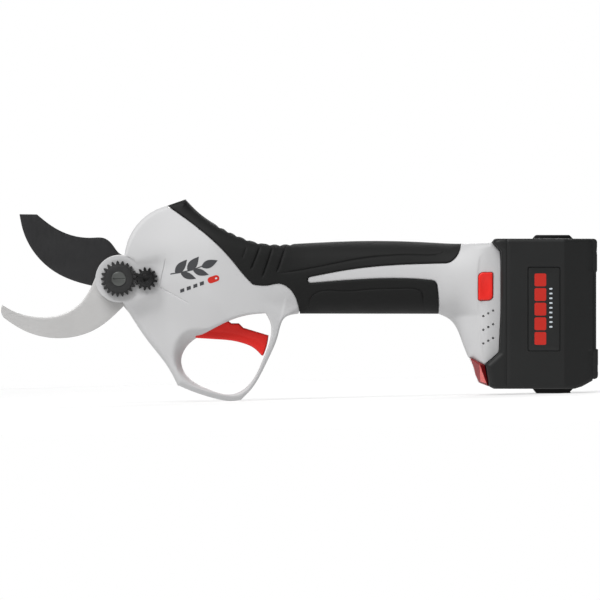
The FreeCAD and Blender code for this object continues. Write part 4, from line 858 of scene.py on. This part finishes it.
def left_pockets():
    """The flat under the gears, the well of the power button and three columns of sound holes."""
    button = pad(*[(low - 0.15, high + 0.15) for low, high in BUTTON], 1.0, (0.9, 2.9, 0.9, 2.9))
    land = Pocket(KEYHOLE, LAND_H, lambda p: 0.6 + 2.2 * ease((p[:, 0] - PIVOT_X - 6) / 6))
    pockets = [land, Pocket(button, lambda p: side_at(p, True) - 5.0)]
    for column, x in enumerate((100.4, 103.05, 105.7)):
        for row in range(3):
            z = 46.7 - 7.5 * row + 1.5 * column
            pockets.append(Pocket(ring(x, z, 0.6, 14), lambda p: side_at(p, True) - 2.0, 0.16))
    return pockets


def right_pockets():
    """The boss of the pivot nut with its hexagon, and the wells of the housing screws."""
    radius, height = NUT_BOSS
    hexagon = closed(straight(*[(PIVOT_X + 7.3 * math.cos(a), AXIS_Z + 7.3 * math.sin(a))
                                for a in np.radians(np.arange(0, 361, 60))]))
    pockets = [Pocket(ring(PIVOT_X, AXIS_Z, radius), height, 0.8), Pocket(hexagon, NUT_FLOOR, 0.16)]
    for x, z in HOUSING_SCREWS:
        pockets.append(Pocket(ring(x, z, SCREW_R, 30), width_at(np.array([x]))[0] - 3.0 - 1.5, 0.25))
    return pockets


CAVITY = closed(straight((-94.1, 83.1), (-94.1, 53.9)),
                smooth((-94.1, 53.9), (-91.3, 50.6), (-82.5, 37.4), (-77.0, 31.9)),
                arc((-77.0, 31.9), (-70.4, 28.3), (-64.9, 30.8)),
                smooth((-64.9, 30.8), (-51.2, 40.7), (-30.3, 49.6), (-5.5, 52.4)),
                straight((-5.5, 52.4), (77.0, 52.5)),
                smooth((77.0, 52.5), (83.6, 48.0), (91.3, 30.5), (94.6, 26.0)),
                straight((94.6, 26.0), (101.2, 23.2), (107.4, 28.8), (107.4, 79.0), (104.0, 83.0)),
                smooth((104.0, 83.0), (79.2, 83.0), (40.2, 84.0), (-5.5, 82.4)),
                smooth((-5.5, 82.4), (-27.5, 83.8), (-52.3, 96.0), (-63.0, 104.8)),
                straight((-63.0, 104.8), (-72.6, 103.8)), arc((-72.6, 103.8), (-86.0, 95.2), (-94.1, 83.1)))
TRIGGER_SLOT = closed(straight((-61.4, 30), (-30.0, 38), (-28.0, 56), (-61.4, 50), (-61.4, 30)))


def from_pivot(*steps):
    """Points given by their distance from the blade pivot."""
    return [(PIVOT_X + x, AXIS_Z + z) for x, z in steps]


HOOK_ROOM_OUTLINE = closed(straight((-77.3, 43.1), *from_pivot((11.2, -7.2))),
                           arc(*from_pivot((11.2, -7.2), (0, 13.5), (-13.6, 0))),
                           straight(*from_pivot((-13.6, 0)), (-108.0, 43.8), (-97.0, 51.4), (-92.0, 46.0),
                                    (-82.0, 37.3), (-77.3, 43.1)))
SECTOR_ROOM = closed(straight(*from_pivot((0, -12.7), (11.4, -20.4))),
                     arc(*from_pivot((11.4, -20.4), (23.4, 0), (7.1, 22.3))),
                     straight(*from_pivot((7.1, 22.3), (0, 12.7))))
DOCK_OPENING = oblong((106.0, 111.0), (RIM_Z[0] + 2, RIM_Z[1] - 2))


def hollow_height(points, front, rooms, left):
    """The inner face of a housing half: the wall's inside in the hollow, and the level of each room."""
    inner = np.where(inside(points, CAVITY), np.minimum(side_at(points, left) - WALL, front - 1.0), 0.0)
    for outline, level in rooms:
        inner = np.where(inside(points, outline), np.maximum(inner, level), inner)
    return np.clip(inner, 0.04, front - 0.8)


def white_outline():
    """The housing's outline, drawn in where a grip wraps over it."""
    normals = left_normals(BODY, True)
    return closed(BODY + normals * np.where(COVERED, GRIP_LAP + 0.1, 0)[:, None])


def grip_gap(points):
    """How far each point is from the edges of the grip."""
    return np.minimum(*[near(points, line, reach=4)[0] for line in GRIP_EDGES])


def housing_half(name, node, put, pockets, rooms):
    """One half of the white shell, sunk under the grip and hollow, with clear rooms for what moves in it."""
    left = put is on_left
    places = EDGE_PLACES + [line_places(line, (0.15, 0.5, 1.0)) for line in GRIP_EDGES]
    places += [line_places(smooth(*line), (0, 0.45, 1.2)) for line in (WEB_CREASE, FACET_EDGE)]
    places += [line_places(straight(*run), (0, 0.12, 0.25, 0.5, 1.0)) for run in HEAD_CREASE]
    places += [beside(outline, (-0.12, 0.12)) for outline in [CAVITY] + [outline for outline, _ in rooms]]
    places += [beside(HOLE, [-CHAMFER * k]) for k in (0.35, 0.7, 0.9, 1.0, 1.1)]
    places += [p.places() for p in pockets]

    def front(points):
        height = base_height(points, left)
        covered = inside(points, GRIP)
        height -= 0.35 * np.exp(-(grip_gap(points) / 0.35) ** 2) * ~covered
        height -= (GRIP_SKIN + 0.1) * covered
        for pocket in pockets:
            height = pocket.cut(points, height)
        return height

    def back(points):
        return hollow_height(points, front(points), rooms, left)

    shell = moulded(white_outline(), [HOLE], places, front, back, put, seam=0.22)
    add_piece(mesh_object(name, *shell), "body", "shell_white", node)


def grip_half(name, node, put):
    """The dark over-mould on one side, proud of the shell and wrapped over the handle's top and bottom."""
    grooves = [(smooth(*UPPER_GROOVE), 0.55, 0.42), (smooth(*LOWER_GROOVE), 0.5, 0.42)]
    grooves += [(straight(*rib), 0.8 if i < 3 else 0.4, 0.45) for i, rib in enumerate(RIBS)]
    places = EDGE_PLACES + [line_places(line, (0.25, 0.55, 0.95, 1.4)) for line in GRIP_EDGES]
    for line, _, width in grooves:
        places.append(line_places(line, [width * k for k in (0, 0.4, 0.8, 1.2, 2.0)]))
    places.append(beside(BODY, (GRIP_LAP - 0.12, GRIP_LAP + 0.12)))
    left = put is on_left

    def front(points):
        height = base_height(points, left) + (GRIP_PROUD - fall(grip_gap(points), 1.0))
        for line, depth, width in grooves:
            height -= groove(points, line, depth, width)
        return height

    def back(points):
        lap = gap_to(points, BODY) < GRIP_LAP
        return np.where(lap, 0.04, base_height(points, left) - GRIP_SKIN)

    shell = moulded(GRIP, [], places, front, back, put, seam=0.18)
    add_piece(mesh_object(name, *shell), "body", "grip_black", node)


def build_housing():
    slot = (TRIGGER_SLOT, SLOT_HALF)
    dock = (DOCK_OPENING, RIM_HALF - 2)
    housing_half("housing_left_shell", "housing_left", on_left, left_pockets(),
                 [slot, dock, (HOOK_ROOM_OUTLINE, HOOK_ROOM)])
    hub_room = ring(PIVOT_X, AXIS_Z, 12.7)
    blade_room = ring(PIVOT_X, AXIS_Z, 15.0)
    housing_half("housing_right_shell", "housing_right", on_right, right_pockets(),
                 [slot, dock, (blade_room, BLADE_ROOM), (hub_room, RIGHT_WALL), (SECTOR_ROOM, RIGHT_WALL)])
    grip_half("grip_left_overmould", "grip_left", on_left)
    grip_half("grip_right_overmould", "grip_right", on_right)


# --- marks on the head ---
SIDES = (("left", on_left), ("right", on_right))


def film(name, outline, put, look, body="body", slot="shell_white", surface=None, proud=MARK_PROUD):
    """A thin printed mark that follows the surface under it: the housing's, if no other is given."""
    surface = surface or (lambda p: base_height(p, put is on_left))
    shell = moulded(outline, [], [], lambda p: surface(p) + proud, lambda p: surface(p) - THINNEST, put,
                    step=1.0)
    add_piece(mesh_object(name, *shell), body, slot, look=look)


def turned(outline, x, z, degrees):
    """An outline turned about its origin, which is put at (x, z)."""
    c, s = math.cos(math.radians(degrees)), math.sin(math.radians(degrees))
    return np.stack([x + c * outline[:, 0] - s * outline[:, 1], z + s * outline[:, 0] + c * outline[:, 1]], 1)


def leaf(x, z, length, width, degrees):
    """A pointed leaf from its stalk at (x, z)."""
    t = np.linspace(0, 1, 15)
    half = width * np.sin(math.pi * t ** 0.8)
    upper = np.stack([length * t, half], 1)
    lower = np.stack([length * t[::-1], -half[::-1]], 1)[1:-1]
    return closed(turned(np.concatenate([upper, lower]), x, z, degrees))


def add_marks():
    """A sprig of leaves over a row of dashes that ends in a red tab, on both sides of the head."""
    stem = [(-71.2, 69.4), (-64.0, 70.6), (-57.0, 72.4), (-52.5, 74.4)]
    sprig = [closed(smooth(*stem), smooth(*[(x + 0.2, z + 0.7) for x, z in stem[::-1]])),
             leaf(-68.4, 70.0, 10.0, 2.3, 50), leaf(-61.6, 71.4, 10.0, 2.4, 52),
             leaf(-54.0, 73.6, 9.6, 2.2, 22), leaf(-65.4, 70.2, 9.0, 1.8, -20),
             leaf(-58.6, 71.8, 9.0, 1.8, -16)]
    dash = closed(straight((-1.4, -0.9), (0.9, -0.9), (1.4, 0.9), (-0.9, 0.9), (-1.4, -0.9)))
    dashes = [turned(dash, -64.6 + 3.6 * i, 60.7 + 1.3 * i, MARK_TURN) for i in range(4)]
    tab = turned(pad((-3.3, 3.3), (-1.75, 1.75), 1.7), *TAB_MIDDLE, MARK_TURN)
    light = turned(pad((0.9, 2.1), (-0.4, 0.4), 0.35), *TAB_MIDDLE, MARK_TURN)
    for side, put in SIDES:
        for i, outline in enumerate(sprig + dashes):
            film(f"mark_dark_{side}_{i + 1}", outline, put, "mark_dark", proud=MARK_PROUD + 0.008 * i)
        film(f"mark_tab_{side}", tab, put, "mark_red")
        film(f"mark_tab_light_{side}", light, put, "mark_light", proud=0.12)


# --- blades ---
def blade_plate(outline, holes, near_y, far_y, edge, grind=None, bevel=None):
    """A flat blade between two planes with broken edges. grind thins it along a line on the near face, and
    bevel on the far one: each is (line, width, depth)."""
    loops = [outline] + holes
    places = [beside(loop, (0.15 * edge, 0.5 * edge, edge)) for loop in loops]
    places += [line_places(line, (0.5 * width, width, width + 0.3))
               for line, width, _ in filter(None, (grind, bevel))]

    def drop(points, cut):
        """How far a face lies below its plane."""
        depth = fall(gap_to(points, *loops), edge)
        if cut:
            depth += cut[2] * (1 - np.clip(near(points, cut[0])[0] / cut[1], 0, 1))
        return depth

    return moulded(outline, holes, places, lambda p: -near_y - drop(p, grind),
                   lambda p: -far_y + drop(p, bevel), step=3.0)


def build_blades():
    inner = smooth((-112.4, 68.3), (-115.9, 60.5), (-121.5, 53.1), (-131.3, 47.5), (-143.9, 46.1),
                   (-156.6, 49.0), (-163.7, 52.8))
    tip = arc((-163.7, 52.8), (-164.25, 48.9), (-162.9, 45.8))
    outer = smooth((-162.9, 45.8), (-153.8, 39.8), (-131.3, 34.5), (-111.7, 39.8), (-97.0, 52.1))
    corner, top = from_pivot((11.0, -7.3), (0, 13.2))
    root = straight((-97.0, 52.1), (-92.0, 46.2), (-82.0, 37.5), (-77.4, 43.2), corner)
    hook = closed(inner, tip, outer, root, arc(corner, top, (-112.4, 68.3)))
    pins = [ring(x, z, 1.53, 20)[::-1] for x, z in ((-86.4, 46.2), (-81.5, 42.5))]
    plate = blade_plate(hook, [ring(PIVOT_X, AXIS_Z, 4.0)[::-1]] + pins, -3.9, -0.1, 0.35,
                        grind=(inner, 1.6, 0.22))
    add_piece(mesh_object("hook_blade", *plate), "body", "hook_steel", "fixed_blade")

    edge = smooth((-154.3, 102.7), (-152.7, 94.9), (-146.7, 82.3), (-135.5, 71.4), (-121.5, 65.1),
                  (-111.0, 62.6))
    hub = arc((-111.0, 62.6), (PIVOT_X + 12.3, AXIS_Z), (-95.6, 78.8))
    spine = smooth((-96.2, 79.5), (-99.6, 81.4), (-102.9, 85.6), (-107.6, 89.5), (-113.8, 89.8),
                   (-124.3, 90.8), (-135.5, 95.6), (-144.7, 102.6))
    blade = closed(edge, hub, spine, straight((-144.7, 102.6), (-154.3, 102.7)))
    plate = blade_plate(blade, [ring(PIVOT_X, AXIS_Z, 6.0)[::-1]], 0.1, 3.5, 0.22, bevel=(edge, 4.2, 2.6))
    add_piece(mesh_object("cutting_blade", *plate), "blade", "blade_dark", "moving_blade")


# --- trigger, button, lens ---
def build_trigger():
    px, pz = in_mm(JOINTS["trigger_pull"]["pos_m"])[::2]
    outline = closed(straight((-58.8, 37.4), (-57.0, 34.6)),
                     smooth((-57.0, 34.6), (-45.7, 33.9), (-37.8, 33.2), (-30.9, 31.6), (-25.7, 29.3),
                            (-21.2, 25.1)),
                     arc((-21.2, 25.1), (-20.3, 24.9), (-19.9, 25.6)),
                     smooth((-19.9, 25.6), (-18.0, 31.4), (-17.3, 36.1)),
                     straight((-17.3, 36.1), (-31.2, 40.3), (-33.6, 42.7), (-37.8, 42.7), (-42.0, 46.0),
                              (px + 2.0, pz + 4.6)),
                     arc((px + 2.0, pz + 4.6), (px - 4.3, pz + 2.6), (-58.8, 37.4)))
    finger = smooth((-56.0, 34.4), (-45.7, 33.9), (-37.8, 33.2), (-30.9, 31.6), (-25.7, 29.3), (-21.6, 25.6))
    radius = 1.1
    places = [beside(outline, rounding(radius, (18, 38, 58, 75, 90))), line_places(finger, (3.4, 3.9, 4.4))]

    def front(points):
        lip = np.exp(-((near(points, finger)[0] - 3.9) / 0.5) ** 2)
        return 6.0 - fall(gap_to(points, outline), radius) - 0.08 * lip * ease((points[:, 0] + 57) / 6)

    lever = balanced(outline, [ring(px, pz, 1.6, 20)[::-1]], places, front, step=1.0)
    add_piece(mesh_object("trigger_lever", *lever), "trigger", "signal_red", "trigger")


def build_button():
    x, z = BUTTON_MIDDLE
    face = side_at(np.array([[x, z]]), True)[0] + BUTTON_PROUD
    outline = pad(*BUTTON, 1.0, (0.8, 2.75, 0.8, 2.75))

    def front(points):
        r = ((points[:, 0] - x) / 3.4) ** 2 + ((points[:, 1] - z) / 6.6) ** 2
        return face - fall(gap_to(points, outline), 0.8) - 0.35 * ease(1 - r)

    cap = moulded(outline, [], [beside(outline, (0.1, 0.3, 0.6, 0.9))], front, flat(face - 6.6), step=0.8)
    add_piece(mesh_object("power_button_cap", *cap), "power_button", "signal_red", "power_button")


def build_lens():
    """The lamp cover under the dock. Each side has a wedge painted pale pink as a painted highlight, between two
    dark red facets.
    """
    rim = [(93.1, 23.9), (98.2, 21.5), (101.2, 20.05), (103.2, 8.2), (98.9, 9.85), (97.9, 10.3),
           (96.1, 14.5), (94.9, 19.2)]
    crest = [(98.3, 20.3), (98.8, 10.9), (102.2, 9.7)]
    n = len(rim)
    verts = [(x, y, z) for line, half in ((rim, 20.6), (crest, 22.0)) for y in (-half, half) for x, z in line]
    top, low, far = 2 * n, 2 * n + 1, 2 * n + 2
    side = [(top, low, far), (0, 1, top), (1, 2, top), (2, 3, far, top), (3, 4, low, far), (4, 5, low),
            (5, 6, low), (6, 7, 0, top, low)]
    faces = [face[::-1] for face in side]
    faces += [tuple(v + n if v < n else v + 3 for v in face) for face in side]
    faces += [(i, (i + 1) % n, (i + 1) % n + n, i + n) for i in range(n)]
    obj = mesh_object("lamp_lens", verts, faces, math.radians(8))
    bm = bmesh.new()
    bm.from_mesh(obj.data)
    bmesh.ops.recalc_face_normals(bm, faces=bm.faces)
    bm.to_mesh(obj.data)
    bm.free()
    add_piece(obj, "body", "lens_red", "status_lens")
    # The wedge on each side gets the pale pink of a painted highlight.
    obj.data.materials.append(MATERIALS["lens_painted_highlight"])
    for i in (0, len(side)):
        obj.data.polygons[i].material_index = 1
    bevel = obj.modifiers.new("edges", "BEVEL")
    bevel.width = 0.25 * MM
    bevel.segments = 2
    bevel.limit_method = "ANGLE"
    bevel.angle_limit = math.radians(25)


# --- battery ---
PACK_FRONT = ((110.0, 49.0), (109.1, 26.9), (101.6, 20.1), (103.7, 8.2), (106.1, PACK_BOTTOM))
PACK_OUTLINE = closed(straight((110.0, 82.1), *PACK_FRONT, (150.2, PACK_BOTTOM), (154.4, 8.2),
                               (COVER_X[0], 11.36), (COVER_X[0], PACK_TOP), (107.3, PACK_TOP),
                               (105.6, 86.95), (110.0, 82.1)))


def pack_half(points, inset=0.0):
    """Half width of the battery: flat sides, and a taper to the rear."""
    slope = (BATTERY_HALF - BATTERY_REAR_HALF) / (COVER_X[1] - CHAMFER_X)
    return BATTERY_HALF - inset - slope * np.maximum(0, points[:, 0] - CHAMFER_X)


def pack_edges():
    """The battery's outline in two parts, for its rounded edges: the front, and the top and bottom."""
    front = straight((107.3, PACK_TOP), (105.6, 86.95), (110.0, 82.1), *PACK_FRONT)
    top = straight((107.3, PACK_TOP), (COVER_X[1], PACK_TOP))
    bottom = straight((106.1, PACK_BOTTOM), (150.2, PACK_BOTTOM), (154.4, 8.2), (COVER_X[1], 13.0))
    return ((front, 2.8), (top, 2.0), (bottom, 2.0))


def pack_side(points):
    height = pack_half(points)
    for line, radius in pack_edges():
        height = height - fall(near(points, line, reach=6)[0], radius)
    return height


def build_battery():
    label = pad(*LABEL, 1.0)
    recess = Pocket(label, LABEL_FLOOR, 0.35)
    taper = straight((CHAMFER_X, PACK_BOTTOM), (CHAMFER_X, PACK_TOP))
    band = straight((BAND_X, PACK_BOTTOM), (BAND_X, PACK_TOP))
    places = [recess.places(), line_places(taper, (0.15, 0.5)), line_places(band, (0, 0.25, 0.6))]
    places += [line_places(line, rounding(radius, (15, 32, 50, 68, 90))) for line, radius in pack_edges()]
    cavity = closed(straight((112.0, 87.1), (112.0, 49.0), (111.0, 25.0), (104.6, 17.6), (106.6, 8.9),
                             (151.3, 8.9), (COVER_X[0], 13.7), (COVER_X[0] + 2, 13.7),
                             (COVER_X[0] + 2, 87.1), (112.0, 87.1)))
    mouth = oblong((104.0, 113.0), (RIM_Z[0] - 0.3, RIM_Z[1] + 0.3))
    window = (RELEASE_X[0] - 0.3, RELEASE_X[1] + 0.3)
    windows = [pad(window, (z - 3, z + 3), 0.2) for z in (PACK_TOP, PACK_BOTTOM)]
    places += [beside(outline, (-0.12, 0.12)) for outline in [cavity, mouth] + windows]
    for z in (71.3, 28.0):
        places.append(line_places(straight((158.6, z), (COVER_X[0] + 1, z)), (0.15, 0.4)))

    def front(points):
        height = pack_side(points)
        height -= 0.25 * np.exp(-((points[:, 0] - BAND_X) / 0.35) ** 2)
        height = recess.cut(points, height)
        notch = ease((points[:, 0] - 158.3) / 0.6) * ease(0.5 + (np.abs(points[:, 1] - 49.65) - 21.65) / 0.5)
        return height - 0.5 * notch

    def back(points):
        inner = np.where(inside(points, cavity), pack_half(points, 2.0), 0.0)
        inner = np.where(inside(points, cavity) & inside(points, label), BATTERY_HALF - 3.0, inner)
        inner = np.where(inside(points, mouth), RIM_HALF + 0.3, inner)
        for outline in windows:
            inner = np.where(inside(points, outline), RELEASE_HALF + 0.3, inner)
        return inner

    shell = balanced(PACK_OUTLINE, [], places, front, back, step=1.6)
    add_piece(mesh_object("battery_shell", *shell), "battery", "battery_black", "battery_case")


def build_cover():
    """The rear cover, moulded over its own outline seen from behind, with sunk screw heads."""
    half = BATTERY_REAR_HALF + 0.3
    outline = pad((-half, half), (12.2, PACK_TOP), 1.8)
    panel = Pocket(pad((-17.0, 17.0), (33.0, 66.0), 2.0), COVER_X[1] - 1.5, 0.5)
    heads = [Pocket(ring(y, z, 2.5, 26), COVER_X[0] + 1.4, 0.2) for y, z in CASE_SCREWS]
    places = [beside(outline, (0.15, 0.5, 1.0, 1.5, 2.0))] + [p.places() for p in heads + [panel]]
    places += [line_places(straight((-half, z), (half, z)), (0.1, 0.25, 0.6)) for z in COVER_STEPS]

    def front(points):
        low, high = (points[:, 1] - z for z in COVER_STEPS)
        height = COVER_X[1] - fall(gap_to(points, outline), 2.0) - ease(0.5 + low / 0.5)
        height += 0.5 * ease(0.5 + high / 0.4)
        for pocket in [panel] + heads:
            height = np.minimum(height, pocket.cut(points, height))
        return height

    cover = moulded(outline, [], places, front, flat(COVER_X[0] + 0.05), at_rear)
    add_piece(mesh_object("battery_rear_cover", *cover), "battery", "battery_black", "battery_cover")


def build_label():
    """A dark film in each recess, with a red charge bar in five parts and a light scale beside it."""
    outline = pad(*[(low + 0.16, high - 0.16) for low, high in LABEL], 0.8)
    top = LABEL_FLOOR + 0.9
    cells = [pad((128.2, 134.6), (31.0 + 8.0 * i, 38.0 + 8.0 * i), 0.9) for i in range(5)]
    ticks = [pad((136.3, 138.0), (40.4 + 2.6 * i, 41.3 + 2.6 * i), 0.3) for i in range(9)]
    for side, put in SIDES:
        plate = moulded(outline, [], [beside(outline, (0.1, 0.25))],
                        lambda p: top - fall(gap_to(p, outline), 0.2), flat(LABEL_FLOOR - 0.1), put, step=3.0)
        nodes = ["battery_labels"] if side == "left" else []
        add_piece(mesh_object("battery_label_" + side, *plate), "battery", "label_dark", *nodes)
        for group, shapes, look in (("cell", cells, "mark_red"), ("tick", ticks, "mark_light")):
            for i, shape in enumerate(shapes):
                film(f"label_{group}_{side}_{i + 1}", shape, put, look, "battery", "label_dark", flat(top),
                     0.06)


# --- dock rim, seen when the battery is slid off ---
def build_dock_rim():
    outline = pad((-RIM_HALF, RIM_HALF), RIM_Z, 1.5)
    inner = pad((-RIM_HALF + 2, RIM_HALF - 2), (RIM_Z[0] + 2, RIM_Z[1] - 2), 0.6)[::-1]
    notches = [pad((-5.3, 5.3), z, 0.2) for z in ((RIM_Z[0] - 2, RIM_Z[0] + 3), (RIM_Z[1] - 3, RIM_Z[1] + 2))]
    places = [beside(loop, (0.15, 0.5)) for loop in (outline, inner)]
    places += [beside(notch, (-0.1, 0.1)) for notch in notches]

    def front(points):
        height = RIM_X[1] - fall(gap_to(points, outline, inner), 0.5)
        for notch in notches:
            height = np.where(inside(points, notch), RIM_X[1] - 2.6, height)
        return height

    rim = moulded(outline, [inner], places, front, flat(RIM_X[0]), at_rear)
    add_piece(mesh_object("dock_rim", *rim), "body", "shell_white")


# --- carried-over CAD parts ---
def dress_cad_parts():
    """Every CAD part that is still shown gets the material of its slot."""
    slots = {part["node"]: part["material_slot"] for part in frame["record"]["subparts"]}
    for node, obj in frame["nodes"].items():
        material = MATERIALS[slots[node]]
        if not obj.data.materials:
            obj.data.materials.append(material)
        for i in range(len(obj.data.materials)):
            obj.data.materials[i] = material


# --- floor, light and camera ---
def build_stage():
    """A pale floor that the guard and the lower release button stand on."""
    guard_x, latch_x = -37.8, 139.0
    latch_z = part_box("release_button_bottom")[0].z / MM
    slope = math.atan2(latch_z, latch_x - guard_x)
    reach = 1100.0
    corners = [(x, y, (x - guard_x) * math.tan(slope) - 0.05) for x, y in
               ((-reach, -reach), (reach, -reach), (reach, reach), (-reach, reach))]
    floor = mesh_object("floor", corners, [(0, 1, 2, 3)])
    tree, shader = new_material("floor_pale", (0.3, 0.3, 0.3), 0.0, 0.8, Emission_Color=(1, 1, 1, 1),
                                Emission_Strength=0.6)
    tone(tree, shader, noise(tree, 3.0, 2.0), (0.29, 0.29, 0.29), (0.31, 0.31, 0.31))
    floor.data.materials.append(MATERIALS["floor_pale"])


def add_light(name, place, power, size):
    """A soft light that points at the middle of the tool."""
    data = bpy.data.lights.new(name, "AREA")
    data.energy = power
    data.shape = "RECTANGLE"
    data.size, data.size_y = size
    lamp = bpy.data.objects.new(name, data)
    lamp.location = place
    lamp.rotation_euler = (Vector((0, 0, 0.055)) - Vector(place)).to_track_quat("-Z", "Y").to_euler()
    bpy.context.scene.collection.objects.link(lamp)


def light_the_scene():
    """Three lights, and a world that is white to the camera and dimmer for lighting."""
    add_light("key", (-0.85, -1.12, 1.60), 53, (1.5, 1.5))
    add_light("top", (0.0, 0.2, 1.5), 3, (1.4, 0.8))
    add_light("back", (0.4, 1.6, 0.9), 14, (1.2, 1.0))
    world = bpy.data.worlds.new("studio")
    world.use_nodes = True
    nodes, links = world.node_tree.nodes, world.node_tree.links
    rays = nodes.new("ShaderNodeLightPath")
    strength = nodes.new("ShaderNodeMapRange")
    set_inputs(strength, To_Min=0.15, To_Max=1.0)
    set_inputs(nodes["Background"], Color=(1, 1, 1, 1))
    links.new(rays.outputs["Is Camera Ray"], strength.inputs["Value"])
    links.new(strength.outputs["Result"], nodes["Background"].inputs["Strength"])
    bpy.context.scene.world = world
    bpy.context.scene.view_settings.view_transform = "Standard"


def add_camera():
    """Level with the tool, square to its side, from far enough for little perspective."""
    distance = 5.0
    frame_width = 0.330
    sensor = 36.0
    data = bpy.data.cameras.new("camera")
    data.sensor_width = sensor
    data.lens = sensor * distance / frame_width
    data.clip_end = 20
    camera = bpy.data.objects.new("camera", data)
    camera.location = (0, -distance, 0.0555)
    camera.rotation_euler = (math.radians(90), 0, 0)
    bpy.context.scene.collection.objects.link(camera)
    bpy.context.scene.camera = camera


dress_cad_parts()
build_housing()
add_marks()
build_blades()
build_trigger()
build_button()
build_lens()
build_battery()
build_cover()
build_label()
build_dock_rim()
# The big gear is shown in a lighter grey than its black slot: painted sheen.
finished("adjuster_gear", "adjuster", "gear_black", 0.18, "gear_painted_sheen")
finished("adjuster_pinion", "adjuster_pinion", "gear_black", 0.18)
finished("pinion_axle", "body", "gear_black", 0.12)
finished("pivot_bolt", "adjuster", "bolt_steel", 0.2)
finished("pivot_nut", "body", "steel", 0.35)
finished("release_button_top", "release_top", "latch_black", 0.45)
finished("release_button_bottom", "release_bottom", "latch_black", 0.45)
build_stage()
light_the_scene()
add_camera()
